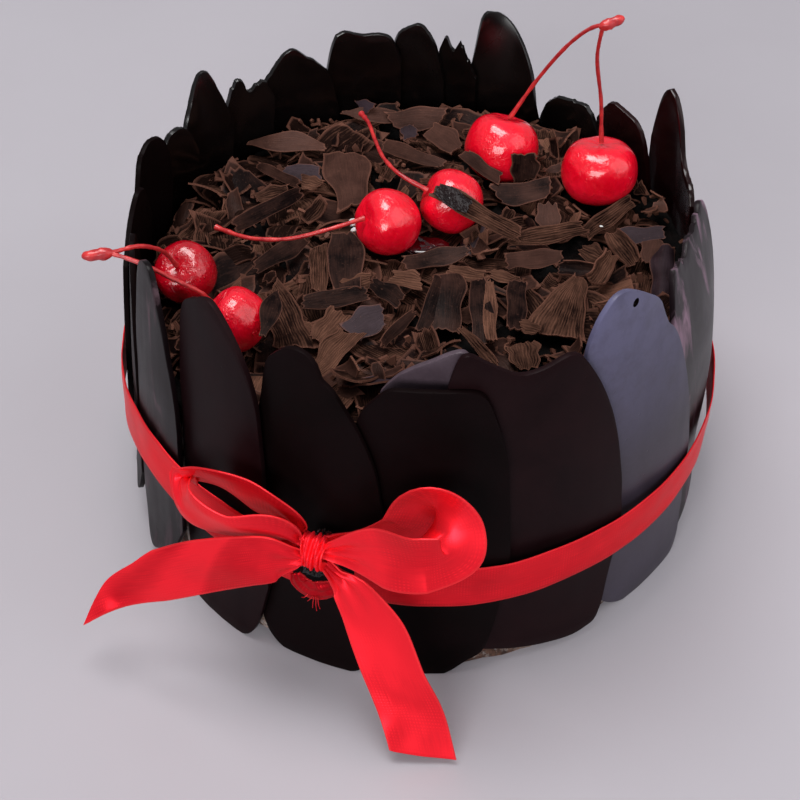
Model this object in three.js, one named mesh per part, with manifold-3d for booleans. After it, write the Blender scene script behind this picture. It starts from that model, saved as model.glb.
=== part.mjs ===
// Black forest cake: a round sponge and cream cake walled in by tall overlapping chocolate panels,
// heaped with chocolate shavings and cherries on stems, and tied with a red satin ribbon in a bow.
//
// Millimetres, +Z up. The origin is the centre of the cake's foot and the ribbon's knot faces -Y.
// A place around the cake is an angle in degrees from the knot, growing towards +X, and a place on
// the wall is that angle, a height, and a distance out from the wall's outer face.

import * as THREE from 'three';
import { mergeVertices } from 'three/addons/utils/BufferGeometryUtils.js';
import Module from 'manifold-3d';

const wasm = await Module();
wasm.setup();

// ---------------------------------------------------------------- driving dimensions

const gap = 0.35; // clearance between pieces that touch

// The wall of panels leans in towards the top, most on the left (-X) side, and flares at the foot.
// Its upper part nods in further, by [angle, distance] at nodFrom + nodSpan up.
const wall = { radius: 86, leanHeight: 80, meanLean: 4, sideLean: 3.5, flare: 1.8, flareHeight: 26,
  nodFrom: 40, nodSpan: 60,
  nod: [[0, 0], [45, 1], [65, 6], [85, 12.5], [100, 11.5], [115, 5], [130, 2], [150, 3.5], [250, 3.5],
    [275, 2.4], [310, 1.2], [360, 0]] };

// Each panel's right edge stands proud and laps over the tucked left edge of the next one.
const panel = { thickness: 1.4, tuck: 3.2, columns: 10, rows: 2, curledRows: 4, curlFrom: 70, curlSpan: 30,
  slantFrom: 50 };
const panelDepth = panel.tuck + panel.thickness;

// The cream foot under the panels bulges between footFrom and footTo, in degrees.
const core = { height: 61, sides: 36, unevenness: 0.7,
  footHeight: 2.4, footBulge: 3.6, footFrom: 12, footTo: 62 };
const heap = { floor: core.height + gap, rim: 66, dome: 7, rearRise: 4.5, bump: 1.1, flakes: 88, seed: 11 };
const flake = { length: [9, 25], width: [6, 14], thickness: 1.1, curl: [-3.2, 3.2], tilt: 0.62 };

// The band's distance out from the wall, and its middle height and its share of the ribbon's full
// width at angles around the cake.
const ribbon = { width: 16, thickness: 0.8, knotHalfAngle: 5.5 };
const band = {
  out: 0.55,
  height: [[0, 39], [30, 36.6], [45, 37.6], [90, 37.6], [180, 38.5], [270, 39.5], [302, 41.5], [318, 44],
    [330, 43.2], [360, 40]],
  gathered: [[0, 0.88], [110, 0.88], [250, 1], [360, 1]],
};
const knot = { height: 53.5, out: 6.5, halfWidth: 3.4, halfHeight: 4.9, halfDepth: 3.3 };
const dab = { halfWidth: 4.6, halfHeight: 9.6, halfDepth: 1, out: 1.5, drop: 6.4, lean: 18 };

const stem = { radius: 0.85, sides: 6, steps: 9, knuckleRadius: 1.9 };

// ---------------------------------------------------------------- finishes

const finish = (color, roughness) => new THREE.MeshStandardMaterial({ color, roughness, metalness: 0 });
const darkChocolate = finish('#1d1416', 0.35);
const shavedChocolate = finish('#3d2a24', 0.6);
const spongeAndCream = finish('#cbbdac', 0.75);
const redSatin = finish('#c80f22', 0.4);
const cherryRed = finish('#c20d1d', 0.2);
const stemRed = finish('#7e1018', 0.45);

// ---------------------------------------------------------------- the wall and curves on it

const radians = THREE.MathUtils.degToRad;

const nodAround = through(wall.nod);

function wallRadius(angle, z) {
  const lean = wall.meanLean - wall.sideLean * Math.sin(radians(angle));
  const nod = nodAround((angle + 360) % 360) * (Math.max(0, z - wall.nodFrom) / wall.nodSpan) ** 2;
  const flare = wall.flare * Math.max(0, 1 - z / wall.flareHeight) ** 2;
  return wall.radius + flare - (lean * z) / wall.leanHeight - nod;
}

function onWall(angle, z, out = 0) {
  const r = wallRadius(angle, z) + out;
  return new THREE.Vector3(r * Math.sin(radians(angle)), -r * Math.cos(radians(angle)), z);
}

// A smooth curve through [place, value] pairs, as a function of place.
function through(pairs) {
  const slope = pairs.map((_, i) => {
    const [before, after] = [pairs[Math.max(i - 1, 0)], pairs[Math.min(i + 1, pairs.length - 1)]];
    return (after[1] - before[1]) / (after[0] - before[0]);
  });
  return (place) => {
    let i = 0;
    while (i < pairs.length - 2 && place > pairs[i + 1][0]) i += 1;
    const span = pairs[i + 1][0] - pairs[i][0];
    const t = THREE.MathUtils.clamp((place - pairs[i][0]) / span, 0, 1);
    const rise = (1 - t) ** 2 * t * span * slope[i] - t ** 2 * (1 - t) * span * slope[i + 1];
    return pairs[i][1] * (1 + 2 * t) * (1 - t) ** 2 + pairs[i + 1][1] * t ** 2 * (3 - 2 * t) + rise;
  };
}

// ---------------------------------------------------------------- closed meshes

function meshFrom(points, faces) {
  const geometry = new THREE.BufferGeometry();
  geometry.setAttribute('position', new THREE.Float32BufferAttribute(points.flatMap((p) => p.toArray()), 3));
  geometry.setIndex(faces.flat());
  return geometry;
}

const quad = (a, b, c, d) => [a, b, c, a, c, d];

// A thin closed slab: place(s, t, side) gives a point for s and t from 0 to 1, where side is
// 0 on the back face and 1 on the front face, and s x t points out of the front.
function closedSlab(across, along, place) {
  const points = [];
  const at = (side, i, j) => (side * (across + 1) + i) * (along + 1) + j;
  for (const side of [0, 1]) {
    for (let i = 0; i <= across; i += 1) {
      for (let j = 0; j <= along; j += 1) points.push(place(i / across, j / along, side));
    }
  }
  const faces = [];
  for (let i = 0; i < across; i += 1) {
    for (let j = 0; j < along; j += 1) {
      faces.push(quad(at(1, i, j), at(1, i + 1, j), at(1, i + 1, j + 1), at(1, i, j + 1)));
      faces.push(quad(at(0, i, j + 1), at(0, i + 1, j + 1), at(0, i + 1, j), at(0, i, j)));
    }
    faces.push(quad(at(0, i, 0), at(0, i + 1, 0), at(1, i + 1, 0), at(1, i, 0)));
    faces.push(quad(at(1, i, along), at(1, i + 1, along), at(0, i + 1, along), at(0, i, along)));
  }
  for (let j = 0; j < along; j += 1) {
    faces.push(quad(at(1, 0, j), at(1, 0, j + 1), at(0, 0, j + 1), at(0, 0, j)));
    faces.push(quad(at(0, across, j), at(0, across, j + 1), at(1, across, j + 1), at(1, across, j)));
  }
  return meshFrom(points, faces);
}

// A solid stack of rings closed by a centre point at each end: rings is a list of functions of
// the angle in degrees, each giving a point, from the bottom ring to the top one.
function ringStack(bottom, rings, top, sides) {
  const points = [bottom];
  for (const ring of rings) {
    for (let k = 0; k < sides; k += 1) points.push(ring((360 * k) / sides));
  }
  points.push(top);
  const at = (level, k) => 1 + level * sides + (k % sides);
  const faces = [];
  for (let k = 0; k < sides; k += 1) {
    faces.push([0, at(0, k + 1), at(0, k)]);
    for (let level = 0; level < rings.length - 1; level += 1) {
      faces.push(quad(at(level, k), at(level, k + 1), at(level + 1, k + 1), at(level + 1, k)));
    }
    faces.push([points.length - 1, at(rings.length - 1, k), at(rings.length - 1, k + 1)]);
  }
  return meshFrom(points, faces);
}

// ---------------------------------------------------------------- joining and cutting

function solidOf(geometry) {
  const bare = geometry.clone();
  bare.deleteAttribute('normal');
  bare.deleteAttribute('uv');
  const merged = mergeVertices(bare, 1e-4);
  return new wasm.Manifold(new wasm.Mesh({
    numProp: 3,
    vertProperties: new Float32Array(merged.attributes.position.array),
    triVerts: new Uint32Array(merged.index.array),
  }));
}

function geometryOf(solid) {
  const mesh = solid.getMesh();
  const geometry = new THREE.BufferGeometry();
  geometry.setAttribute('position', new THREE.BufferAttribute(new Float32Array(mesh.vertProperties), 3));
  geometry.setIndex(new THREE.BufferAttribute(new Uint32Array(mesh.triVerts), 1));
  return geometry;
}

// The joined body without loose scraps.
function largestBody(solid) {
  return solid.decompose().reduce((a, b) => (a.volume() > b.volume() ? a : b));
}

// ---------------------------------------------------------------- random draws, always the same

function seeded(seed) {
  let state = seed;
  return (low = 0, high = 1) => {
    state = (Math.imul(state, 1664525) + 1013904223) >>> 0;
    return low + ((high - low) * state) / 2 ** 32;
  };
}

// ---------------------------------------------------------------- chocolate panels

// from and to are the panel's edges. foot and top are its lower and upper outline, as heights at
// places from 0 at the left edge to 1 at the right. slant leans the panel sideways, in degrees per
// millimetre of height. curl bends its tip outwards. set moves the whole panel inwards, and tuck
// is how far its left edge lies behind its right one.
const roundFoot = [[0, 12], [0.15, 2], [0.35, 0], [0.7, 0], [0.87, 3], [1, 16]];
const raggedFoot = [[0, 16], [0.25, 8], [0.45, 11], [0.65, 7], [0.85, 12], [1, 24]];

const panels = [
  { name: 'panel_front_left', from: -33.4, to: -11,
    foot: [[0, 20], [0.1, 6], [0.21, 0], [0.7, 0], [0.86, 5], [1, 24]],
    top: [[0, 84], [0.04, 97], [0.12, 103], [0.27, 106.5], [0.44, 109.5], [0.53, 109], [0.64, 106.5],
      [0.74, 103], [0.84, 98], [0.93, 90.5], [0.975, 80], [1, 60]] },
  { name: 'panel_front', from: -14.5, to: 10.3,
    foot: [[0, 12], [0.1, 4], [0.27, 0], [0.72, 0], [0.9, 6], [1, 30]],
    top: [[0, 76], [0.09, 88], [0.14, 99], [0.22, 103.5], [0.34, 107], [0.47, 107.3], [0.54, 105],
      [0.58, 101.2], [0.65, 99.2], [0.74, 94], [0.83, 88], [0.91, 80.5], [0.96, 72.5], [1, 60]] },
  { name: 'panel_front_right', from: 4, to: 31.8,
    foot: [[0, 14], [0.15, 2], [0.35, 0], [0.6, 0], [0.76, 5], [0.88, 10], [0.95, 24], [1, 42]],
    top: [[0, 82], [0.08, 92], [0.15, 96.2], [0.22, 99.4], [0.28, 100.7], [0.55, 101.4], [0.7, 101.6],
      [0.78, 100.6], [0.83, 97.2], [0.9, 87.8], [0.945, 78.7], [0.975, 65.8], [1, 46]] },
  { name: 'panel_right_front', from: 20, to: 54,
    foot: [[0, 9], [0.24, 6.5], [0.6, 3.2], [0.85, 3.2], [0.94, 9], [1, 34]],
    top: [[0, 98], [0.05, 108.4], [0.1, 110.8], [0.17, 109], [0.25, 106.3], [0.34, 104], [0.45, 104.5],
      [0.575, 106.9], [0.65, 105.7], [0.71, 101.3], [0.785, 93.9], [0.87, 82.5], [0.935, 68.5], [1, 47]] },
  { name: 'panel_right', from: 46.3, to: 74.3, slant: -0.12, hole: { place: 0.53, z: 111.9, radius: 0.95 },
    foot: [[0, 16], [0.1, 5], [0.3, 0], [0.75, 0], [0.93, 5], [1, 18]],
    top: [[0, 82], [0.15, 105], [0.23, 111.7], [0.29, 114.6], [0.36, 116.8], [0.44, 117.2], [0.56, 114.7],
      [0.69, 110.2], [0.8, 105], [0.84, 98], [0.92, 93], [0.96, 87.5], [1, 74]] },
  { name: 'panel_right_side', from: 68.5, to: 104,
    foot: [[0, 22], [0.2, 4], [0.5, 0], [0.8, 2], [1, 18]],
    top: [[0, 76], [0.08, 90], [0.14, 99.5], [0.25, 99.3], [0.41, 96.3], [0.55, 97.4], [0.67, 96.5],
      [0.82, 98.2], [0.92, 97.5], [0.97, 93], [1, 78]] },
  { name: 'panel_right_rear', from: 102, to: 118.5, set: 0.3,
    foot: roundFoot,
    top: [[0, 70], [0.2, 80], [0.5, 83], [0.8, 82], [1, 74]] },
  { name: 'panel_rear_shard', from: 116, to: 137.4,
    foot: roundFoot,
    top: [[0, 80], [0.1, 84], [0.3, 85], [0.42, 88], [0.52, 96.7], [0.66, 102.5], [0.8, 103.4],
      [0.91, 97.2], [1, 84]] },
  { name: 'panel_rear_right', from: 134, to: 152,
    foot: roundFoot,
    top: [[0, 66], [0.15, 79], [0.3, 85.5], [0.6, 88], [0.82, 87.5], [1, 80]] },
  { name: 'panel_rear_low', from: 149.5, to: 167,
    foot: raggedFoot,
    top: [[0, 76], [0.22, 83.5], [0.5, 83], [0.75, 81], [0.9, 75], [1, 64]] },
  { name: 'panel_rear_tall', from: 164, to: 183.5, curl: 6,
    foot: roundFoot,
    top: [[0, 66], [0.12, 77], [0.17, 86], [0.31, 94], [0.44, 98.6], [0.6, 102.5], [0.73, 104],
      [0.85, 102.5], [0.92, 90], [1, 78]] },
  { name: 'panel_rear_narrow', from: 180.5, to: 191,
    foot: roundFoot,
    top: [[0, 84], [0.25, 92], [0.38, 96.5], [0.52, 93], [0.7, 97], [0.86, 91], [1, 82]] },
  { name: 'panel_rear', from: 188, to: 201, curl: 2,
    foot: raggedFoot,
    top: [[0, 82], [0.15, 94], [0.4, 100.5], [0.62, 100], [0.85, 97], [1, 88]] },
  { name: 'panel_rear_left', from: 198, to: 216, curl: 2,
    foot: roundFoot,
    top: [[0, 90], [0.15, 98], [0.5, 98.5], [0.83, 100], [0.93, 94], [1, 80]] },
  { name: 'panel_left_rear', from: 213, to: 232.5, curl: 3,
    foot: roundFoot,
    top: [[0, 74], [0.1, 86], [0.22, 91], [0.38, 94.5], [0.58, 98], [0.8, 94], [1, 88]] },
  { name: 'panel_left_notched', from: 230, to: 245,
    foot: raggedFoot,
    top: [[0, 86], [0.2, 93], [0.48, 91], [0.58, 96], [0.74, 95], [0.85, 87], [1, 80]] },
  { name: 'panel_left_curled', from: 242, to: 257, curl: 5,
    foot: roundFoot,
    top: [[0, 84], [0.12, 91.3], [0.2, 96.1], [0.29, 101.7], [0.42, 102.3], [0.56, 99.5], [0.75, 95],
      [0.9, 91], [1, 82]] },
  { name: 'panel_left_low', from: 254, to: 268,
    foot: roundFoot,
    top: [[0, 82], [0.3, 92.5], [0.7, 94.5], [1, 86]] },
  { name: 'panel_left', from: 265, to: 281, curl: 2,
    foot: raggedFoot,
    top: [[0, 82], [0.12, 94], [0.3, 99], [0.6, 98.5], [0.8, 95], [1, 78]] },
  { name: 'panel_left_outer', from: 277, to: 293,
    foot: raggedFoot,
    top: [[0, 80], [0.3, 93], [0.65, 92], [1, 78]] },
  { name: 'panel_left_front', from: 290, to: 310.6,
    foot: [[0, 14], [0.3, 9], [0.55, 14], [0.75, 10], [1, 24]],
    top: [[0, 78], [0.3, 92], [0.6, 96], [0.85, 90], [1, 68]] },
  { name: 'panel_front_far_left', from: 311.3, to: 328, tuck: 0.4,
    foot: [[0, 20], [0.25, 4], [0.5, 6], [0.75, 11], [1, 24]],
    top: [[0, 80], [0.08, 96], [0.17, 101.7], [0.35, 104.5], [0.52, 103.7], [0.66, 98], [0.79, 90.5],
      [0.87, 82], [0.95, 73.5], [1, 60]] },
  { name: 'panel_inner_piece', from: 9, to: 27, set: 5.4,
    foot: [[0, 88], [0.25, 80], [0.6, 77], [1, 82]],
    top: [[0, 94], [0.08, 97], [0.24, 101.3], [0.49, 105.4], [0.68, 108.2], [0.82, 108.2], [0.93, 101.5],
      [1, 93]] },
];

function panelPoint({ from, to, foot, top, slant = 0, curl = 0, set = 0, tuck = panel.tuck }, u, v, side) {
  const low = Math.max(0, through(foot)(u));
  const high = through(top)(u);
  const z = low + (high - low) * v;
  const angle = from + (to - from) * u + slant * (z - panel.slantFrom);
  const tip = Math.max(0, z - panel.curlFrom) / panel.curlSpan;
  const out = -tuck * (1 - u) + curl * Math.sin(Math.PI * u) * tip ** 2 - set;
  return onWall(angle, z, out - panel.thickness * (1 - side));
}

function panelGeometry(shape) {
  // Columns crowd together towards both edges, where the outline turns fastest.
  const crowded = (s) => (1 - Math.cos(Math.PI * s)) / 2;
  const rows = shape.curl ? panel.curledRows : panel.rows;
  const slab = closedSlab(panel.columns, rows, (s, t, side) => panelPoint(shape, crowded(s), t, side));
  if (!shape.hole) return slab;

  const { place, z, radius } = shape.hole;
  const angle = shape.from + (shape.to - shape.from) * place + shape.slant * (z - panel.slantFrom);
  const drill = new THREE.CylinderGeometry(radius, radius, 3 * panelDepth, 8);
  drill.applyQuaternion(new THREE.Quaternion().setFromUnitVectors(
    new THREE.Vector3(0, 1, 0), onWall(angle, z).setZ(0).normalize()));
  drill.translate(...onWall(angle, z, -panelDepth / 2).toArray());
  return geometryOf(solidOf(slab).subtract(solidOf(drill)));
}

// ---------------------------------------------------------------- the cake itself

// How far the cream foot squeezes out under the panels on the right of the bow, from 0 to 1.
const footShare = (angle) => {
  const place = (angle - core.footFrom) / (core.footTo - core.footFrom);
  return place > 0 && place < 1 ? Math.sin(Math.PI * place) : 0;
};

function coreRing(z) {
  return (angle) => {
    const ripple = Math.sin(radians(7 * angle)) + Math.sin(radians(11 * angle + 40));
    const share = z <= core.footHeight ? core.footBulge * footShare(angle) : 0;
    return onWall(angle, z, -panelDepth - gap - core.unevenness * (1 + ripple / 2) + share);
  };
}

function coreGeometry() {
  const levels = [0, core.footHeight, core.footHeight + 3, core.height - 1.5];
  const rings = levels.map(coreRing);
  const lip = coreRing(core.height);
  rings.push((angle) => lip(angle).multiply(new THREE.Vector3(0.98, 0.98, 1)));
  const centre = (z) => new THREE.Vector3(0, 0, z);
  return ringStack(centre(0), rings, centre(core.height), core.sides);
}

// ---------------------------------------------------------------- cherries and stems

// centre is the middle of the fruit, axis points to its dimple, and height is its length along
// the axis as a share of its diameter.
const cherries = {
  left: { centre: [-54.6, -29.2, 79], diameter: 16.5, axis: [-0.05, -0.57, 0.82], height: 0.95 },
  left_front: { centre: [-35, -44, 80], diameter: 16.5, axis: [-0.75, -0.1, 0.65], height: 0.96 },
  middle: { centre: [-8.2, 3, 81.5], diameter: 18, axis: [-0.69, -0.57, 0.45], height: 0.98 },
  middle_right: { centre: [6.3, 16.2, 82], diameter: 17.5, axis: [-0.82, -0.25, 0.5], height: 0.98 },
  rear_right: { centre: [13.9, 47, 80.5], diameter: 21.5, axis: [0.12, 0.42, 0.9], height: 0.96 },
  right: { centre: [43.2, 44, 80.5], diameter: 22, axis: [-0.07, 0.2, 0.97], height: 0.88 },
};
const cherryShape = { dimple: 0.2, dimpleReach: 0.5, squareness: 2.3, rings: 8, sides: 12 };

// The fruit's radius, as a share of its half-width, at an angle from its stem.
function cherryProfile(angle) {
  const { dimple, dimpleReach, squareness } = cherryShape;
  const block = Math.abs(Math.sin(angle)) ** squareness + Math.abs(Math.cos(angle)) ** squareness;
  return block ** (-1 / squareness) * (1 - dimple * Math.exp(-((angle / dimpleReach) ** 2)));
}

function cherryGeometry({ centre, diameter, axis, height }, grow = 0) {
  const half = diameter / 2 + grow;
  const profile = [];
  for (let k = 0; k <= cherryShape.rings; k += 1) {
    const angle = Math.PI * (1 - k / cherryShape.rings);
    const reach = half * cherryProfile(angle);
    const onAxis = k === 0 || k === cherryShape.rings;
    profile.push(new THREE.Vector2(onAxis ? 0 : reach * Math.sin(angle), reach * height * Math.cos(angle)));
  }
  const fruit = new THREE.LatheGeometry(profile, cherryShape.sides);
  const turn = new THREE.Quaternion().setFromUnitVectors(
    new THREE.Vector3(0, 1, 0), new THREE.Vector3(...axis).normalize());
  return fruit.applyQuaternion(turn).translate(...centre);
}

// Where a stem leaves its cherry: just clear of the bottom of the dimple.
function dimpleOf({ centre, diameter, axis, height }) {
  const depth = (diameter / 2) * height * cherryProfile(0) + 2 * gap;
  return new THREE.Vector3(...axis).normalize().multiplyScalar(depth).add(new THREE.Vector3(...centre));
}

const point = (x, y, z) => new THREE.Vector3(x, y, z);

// Each stem runs from its cherry's dimple through these points. Paired stems meet in a knuckle.
const stems = {
  stem_left_pair: {
    knuckle: { from: point(-63, -49, 99.6), to: point(-70, -53, 99.8) },
    runs: [
      { cherry: 'left', route: [point(-55.8, -38.5, 93.5), point(-59, -44, 98.5),
        point(-63.5, -49.4, 99.7)] },
      { cherry: 'left_front', route: [point(-42.5, -47, 90), point(-48.5, -48.5, 94), point(-56, -49, 97.5),
        point(-64, -49.6, 99.7)] },
    ],
  },
  stem_middle: {
    runs: [{ cherry: 'middle', route: [point(-21, -7.5, 84.5), point(-31.5, -11, 81.5),
      point(-43, -11.5, 79.5), point(-54, -8.5, 78.5)] }],
  },
  stem_middle_right: {
    runs: [{ cherry: 'middle_right', route: [point(-8, 15.5, 88.5), point(-14.5, 22, 88),
      point(-20.5, 33, 86), point(-25.5, 43, 84.5), point(-29, 47.5, 84)] }],
  },
  stem_right_pair: {
    knuckle: { from: point(38.5, 41, 127), to: point(44.5, 44.5, 129) },
    runs: [
      { cherry: 'rear_right', route: [point(21.5, 52.5, 101), point(29.5, 50, 115), point(36, 44.5, 124.5),
        point(40, 42, 127.9)] },
      { cherry: 'right', route: [point(41, 46.8, 101), point(38.6, 45, 116), point(39.4, 42, 127.4)] },
    ],
  },
};

function tube(route, radius) {
  const section = new THREE.Shape();
  for (let k = 0; k < stem.sides; k += 1) {
    const angle = (2 * Math.PI * k) / stem.sides;
    const corner = [radius * Math.cos(angle), radius * Math.sin(angle)];
    if (k === 0) section.moveTo(...corner);
    else section.lineTo(...corner);
  }
  const extrudePath = new THREE.CatmullRomCurve3(route);
  return new THREE.ExtrudeGeometry(section, { steps: stem.steps, extrudePath });
}

function stemSolid({ knuckle, runs }, grow = 0) {
  const pieces = runs.map(({ cherry, route }) =>
    solidOf(tube([dimpleOf(cherries[cherry]), ...route], stem.radius + grow)));
  if (knuckle) {
    const length = knuckle.to.distanceTo(knuckle.from);
    const knob = new THREE.IcosahedronGeometry(1, 1);
    knob.scale(length / 2, stem.knuckleRadius + grow, stem.knuckleRadius + grow);
    knob.applyQuaternion(new THREE.Quaternion().setFromUnitVectors(
      point(1, 0, 0), knuckle.to.clone().sub(knuckle.from).normalize()));
    knob.translate(...knuckle.to.clone().add(knuckle.from).multiplyScalar(0.5).toArray());
    pieces.push(solidOf(knob));
  }
  return pieces.reduce((joined, piece) => joined.add(piece));
}

// ---------------------------------------------------------------- the heap of shavings

// Height of the heap under its loose pieces.
function heapHeight(x, y) {
  const share = (x * x + y * y) / (wall.radius - panelDepth) ** 2;
  const bumps = Math.sin(0.11 * x + 1) * Math.cos(0.13 * y) + Math.sin(0.07 * y - 0.05 * x);
  const rear = heap.rearRise * Math.max(0, y / wall.radius);
  return heap.rim + heap.dome * (1 - share) + rear + heap.bump * bumps;
}

function heapBed() {
  const shares = [1, 0.8, 0.55, 0.28];
  const reach = -panelDepth - gap;
  const top = (share) => (angle) => {
    const { x, y } = onWall(angle, heap.rim, reach).multiplyScalar(share);
    return point(x, y, heapHeight(x, y));
  };
  const rings = [(angle) => onWall(angle, heap.floor, reach), ...shares.map(top)];
  return ringStack(point(0, 0, heap.floor), rings, point(0, 0, heapHeight(0, 0)), 36);
}

// The space inside the panels, which no shaving leaves.
function spaceInside() {
  const ring = (z) => (angle) => onWall(angle, z, -panelDepth - 2 * gap);
  const [low, high] = [heap.floor, 100];
  return ringStack(point(0, 0, low), [ring(low), ring(high)], point(0, 0, high), 40);
}

// One curled flake of shaved chocolate, lying flat on the origin.
function flakeGeometry(length, width, curl) {
  return closedSlab(2, 1, (s, t, side) => {
    const taper = 1 - 0.35 * Math.abs(2 * s - 1);
    const lift = curl * (2 * s - 1) ** 2;
    return point(length * (s - 0.5), width * taper * (t - 0.5), lift + flake.thickness * (side - 0.5));
  });
}

function flakeSolids() {
  const draw = seeded(heap.seed);
  const goldenAngle = 137.508;
  const solids = [];
  for (let k = 0; k < heap.flakes; k += 1) {
    const reach = (wall.radius - panelDepth - 7) * Math.sqrt((k + 0.5) / heap.flakes);
    const angle = radians(goldenAngle * k + draw(-12, 12));
    const [x, y] = [reach * Math.sin(angle), -reach * Math.cos(angle)];
    const piece = flakeGeometry(draw(...flake.length), draw(...flake.width), draw(...flake.curl));
    const tilts = [draw(-flake.tilt, flake.tilt), draw(-flake.tilt, flake.tilt)];
    const turn = new THREE.Euler(...tilts, draw(0, 2 * Math.PI), 'ZXY');
    piece.applyMatrix4(new THREE.Matrix4().makeRotationFromEuler(turn));
    piece.translate(x, y, heapHeight(x, y) + draw(0.6, 2.4));
    solids.push(solidOf(piece));
  }
  return solids;
}

function heapGeometry() {
  const inner = panels.find(({ name }) => name === 'panel_inner_piece');
  const margin = 1;
  const pieces = flakeSolids();
  let solid = wasm.Manifold.union([solidOf(heapBed()), ...pieces]).intersect(solidOf(spaceInside()));
  const keepClear = [
    ...Object.values(cherries).map((cherry) => solidOf(cherryGeometry(cherry, 2 * gap))),
    ...Object.values(stems).map((twig) => stemSolid(twig, gap)),
    ...[-margin, margin].map((shift) => solidOf(panelGeometry({ ...inner, set: inner.set + shift }))),
  ];
  for (const other of keepClear) solid = solid.subtract(other);
  return geometryOf(largestBody(solid));
}

// ---------------------------------------------------------------- ribbon

// A ribbon strip. stations are [angle, z, out, tilt, width share]: the strip's middle line on the
// wall, the tilt of its width out of the wall in degrees, and how far it is gathered. bulge bows
// it across its width, and cut is how much of the length each edge runs to at a slanted end.
function stripGeometry({ stations, steps, bulge, cut = [1, 1] }) {
  const middle = new THREE.CatmullRomCurve3(stations.map(([angle, z, out]) => onWall(angle, z, out)));
  const station = (column) => through(stations.map((row, i) => [i / (stations.length - 1), row[column]]));
  const [tilt, share] = [station(3), station(4)];
  return closedSlab(steps, 2, (place, t, side) => {
    const s = place * THREE.MathUtils.lerp(...cut, t);
    const centre = middle.getPoint(s);
    const tangent = middle.getTangent(s);
    const outwards = centre.clone().setZ(0).normalize();
    const flat = new THREE.Vector3().crossVectors(outwards, tangent).normalize();
    const raised = new THREE.Vector3().crossVectors(tangent, flat).normalize();
    const across = flat.multiplyScalar(Math.cos(radians(tilt(s))))
      .addScaledVector(raised, Math.sin(radians(tilt(s))));
    const normal = new THREE.Vector3().crossVectors(tangent, across).normalize();
    return centre
      .addScaledVector(across, ribbon.width * share(s) * (t - 0.5))
      .addScaledVector(normal, ribbon.thickness * (side - 0.5) + bulge * (1 - (2 * t - 1) ** 2));
  });
}

function bandGeometry() {
  const start = ribbon.knotHalfAngle;
  const [middle, gathered] = [through(band.height), through(band.gathered)];
  return closedSlab(48, 1, (s, t, side) => {
    const angle = start + (360 - 2 * start) * s;
    const z = middle(angle) + ribbon.width * gathered(angle) * (t - 0.5);
    return onWall(angle, z, band.out + ribbon.thickness * side);
  });
}

const bow = {
  bow_loop_left: {
    bulge: 1, steps: 18,
    stations: [[-2.7, 55.6, 3.9, 0, 0.3], [-5.8, 61, 4.1, -16, 0.85], [-12.2, 62.6, 4, -14, 1],
      [-19.6, 62.4, 4.7, -30, 0.95], [-24.2, 60, 6.9, -38, 0.5], [-20.5, 58, 11.4, 0, 0.95],
      [-12.2, 57.2, 10.4, 22, 1], [-5.2, 58.6, 8, 6, 0.85], [-2.7, 56, 6.3, 0, 0.3]],
  },
  bow_loop_right: {
    bulge: -1, steps: 18,
    stations: [[2.7, 55, 3.9, 0, 0.3], [8.6, 57.5, 5, 4, 0.8], [14.5, 63.1, 5, 4, 1],
      [17.5, 72.9, 5.8, 4, 1], [20.1, 71, 11.2, -2, 1], [20, 66.4, 15.2, 4, 1], [16.2, 65.6, 16.8, 14, 1],
      [10, 61.8, 12.2, 22, 1], [2.7, 55.5, 7.6, 0, 0.38]],
  },
  bow_tail_left: {
    bulge: 0.6, steps: 14, cut: [0.66, 1],
    stations: [[-2.7, 52.2, 9, 0, 0.55], [-6, 52.3, 11.4, 3, 0.92], [-10.6, 49.6, 13.6, 0, 1],
      [-17.6, 42, 15.5, 1, 1], [-24.4, 34, 20.3, -4, 1], [-30.6, 28, 26.4, 9, 1], [-34.2, 20.3, 33, 11, 1]],
  },
  bow_tail_right: {
    bulge: -0.6, steps: 12, cut: [0.92, 1],
    stations: [[3.2, 46.8, 6.8, 0, 0.3], [5.6, 43.8, 8, 2, 0.7], [9.7, 35.1, 12, 5, 1],
      [13, 23, 17.8, 3, 1], [15.5, 12.6, 21.6, -5, 1], [17.2, 0, 26.2, -6, 1]],
  },
  bow_scrap: {
    bulge: 0.5, steps: 8,
    stations: [[-4.4, 39.8, 4, 0, 0.26], [-2.8, 36.2, 4.8, 0, 0.4], [-0.2, 35.2, 5.2, 0, 0.42],
      [2.4, 38, 4.2, 0, 0.3]],
  },
};

function knotGeometry() {
  const { halfWidth, halfHeight, halfDepth } = knot;
  const profile = [[0, -1], [0.78, -1], [1, -0.6], [0.9, 0], [1, 0.6], [0.78, 1], [0, 1]];
  const barrel = new THREE.LatheGeometry(profile.map(([r, y]) => new THREE.Vector2(r, y)), 14);
  return barrel.rotateZ(Math.PI / 2).rotateX(Math.PI / 14)
    .scale(halfWidth - gap, halfDepth, halfHeight)
    .translate(...onWall(0, knot.height, knot.out).toArray());
}

// A lump of chocolate that holds the bow to the wall.
function dabGeometry() {
  const lump = new THREE.IcosahedronGeometry(1, 2);
  const place = lump.attributes.position;
  for (let i = 0; i < place.count; i += 1) {
    const p = new THREE.Vector3().fromBufferAttribute(place, i);
    const rough = 1 + 0.1 * Math.sin(7 * p.x + 2) * Math.cos(6 * p.z) - 0.06 * Math.cos(9 * p.z + p.x);
    place.setXYZ(i, ...p.multiplyScalar(rough).toArray());
  }
  return lump.scale(dab.halfWidth, dab.halfDepth, dab.halfHeight).rotateY(radians(dab.lean))
    .translate(...onWall(0, knot.height - dab.drop, dab.out + gap).toArray());
}

// ---------------------------------------------------------------- assembly

const cake = new THREE.Group();
cake.name = 'black_forest_cake';

function add(name, geometry, material) {
  const mesh = new THREE.Mesh(geometry, material);
  mesh.name = name;
  cake.add(mesh);
}

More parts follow.
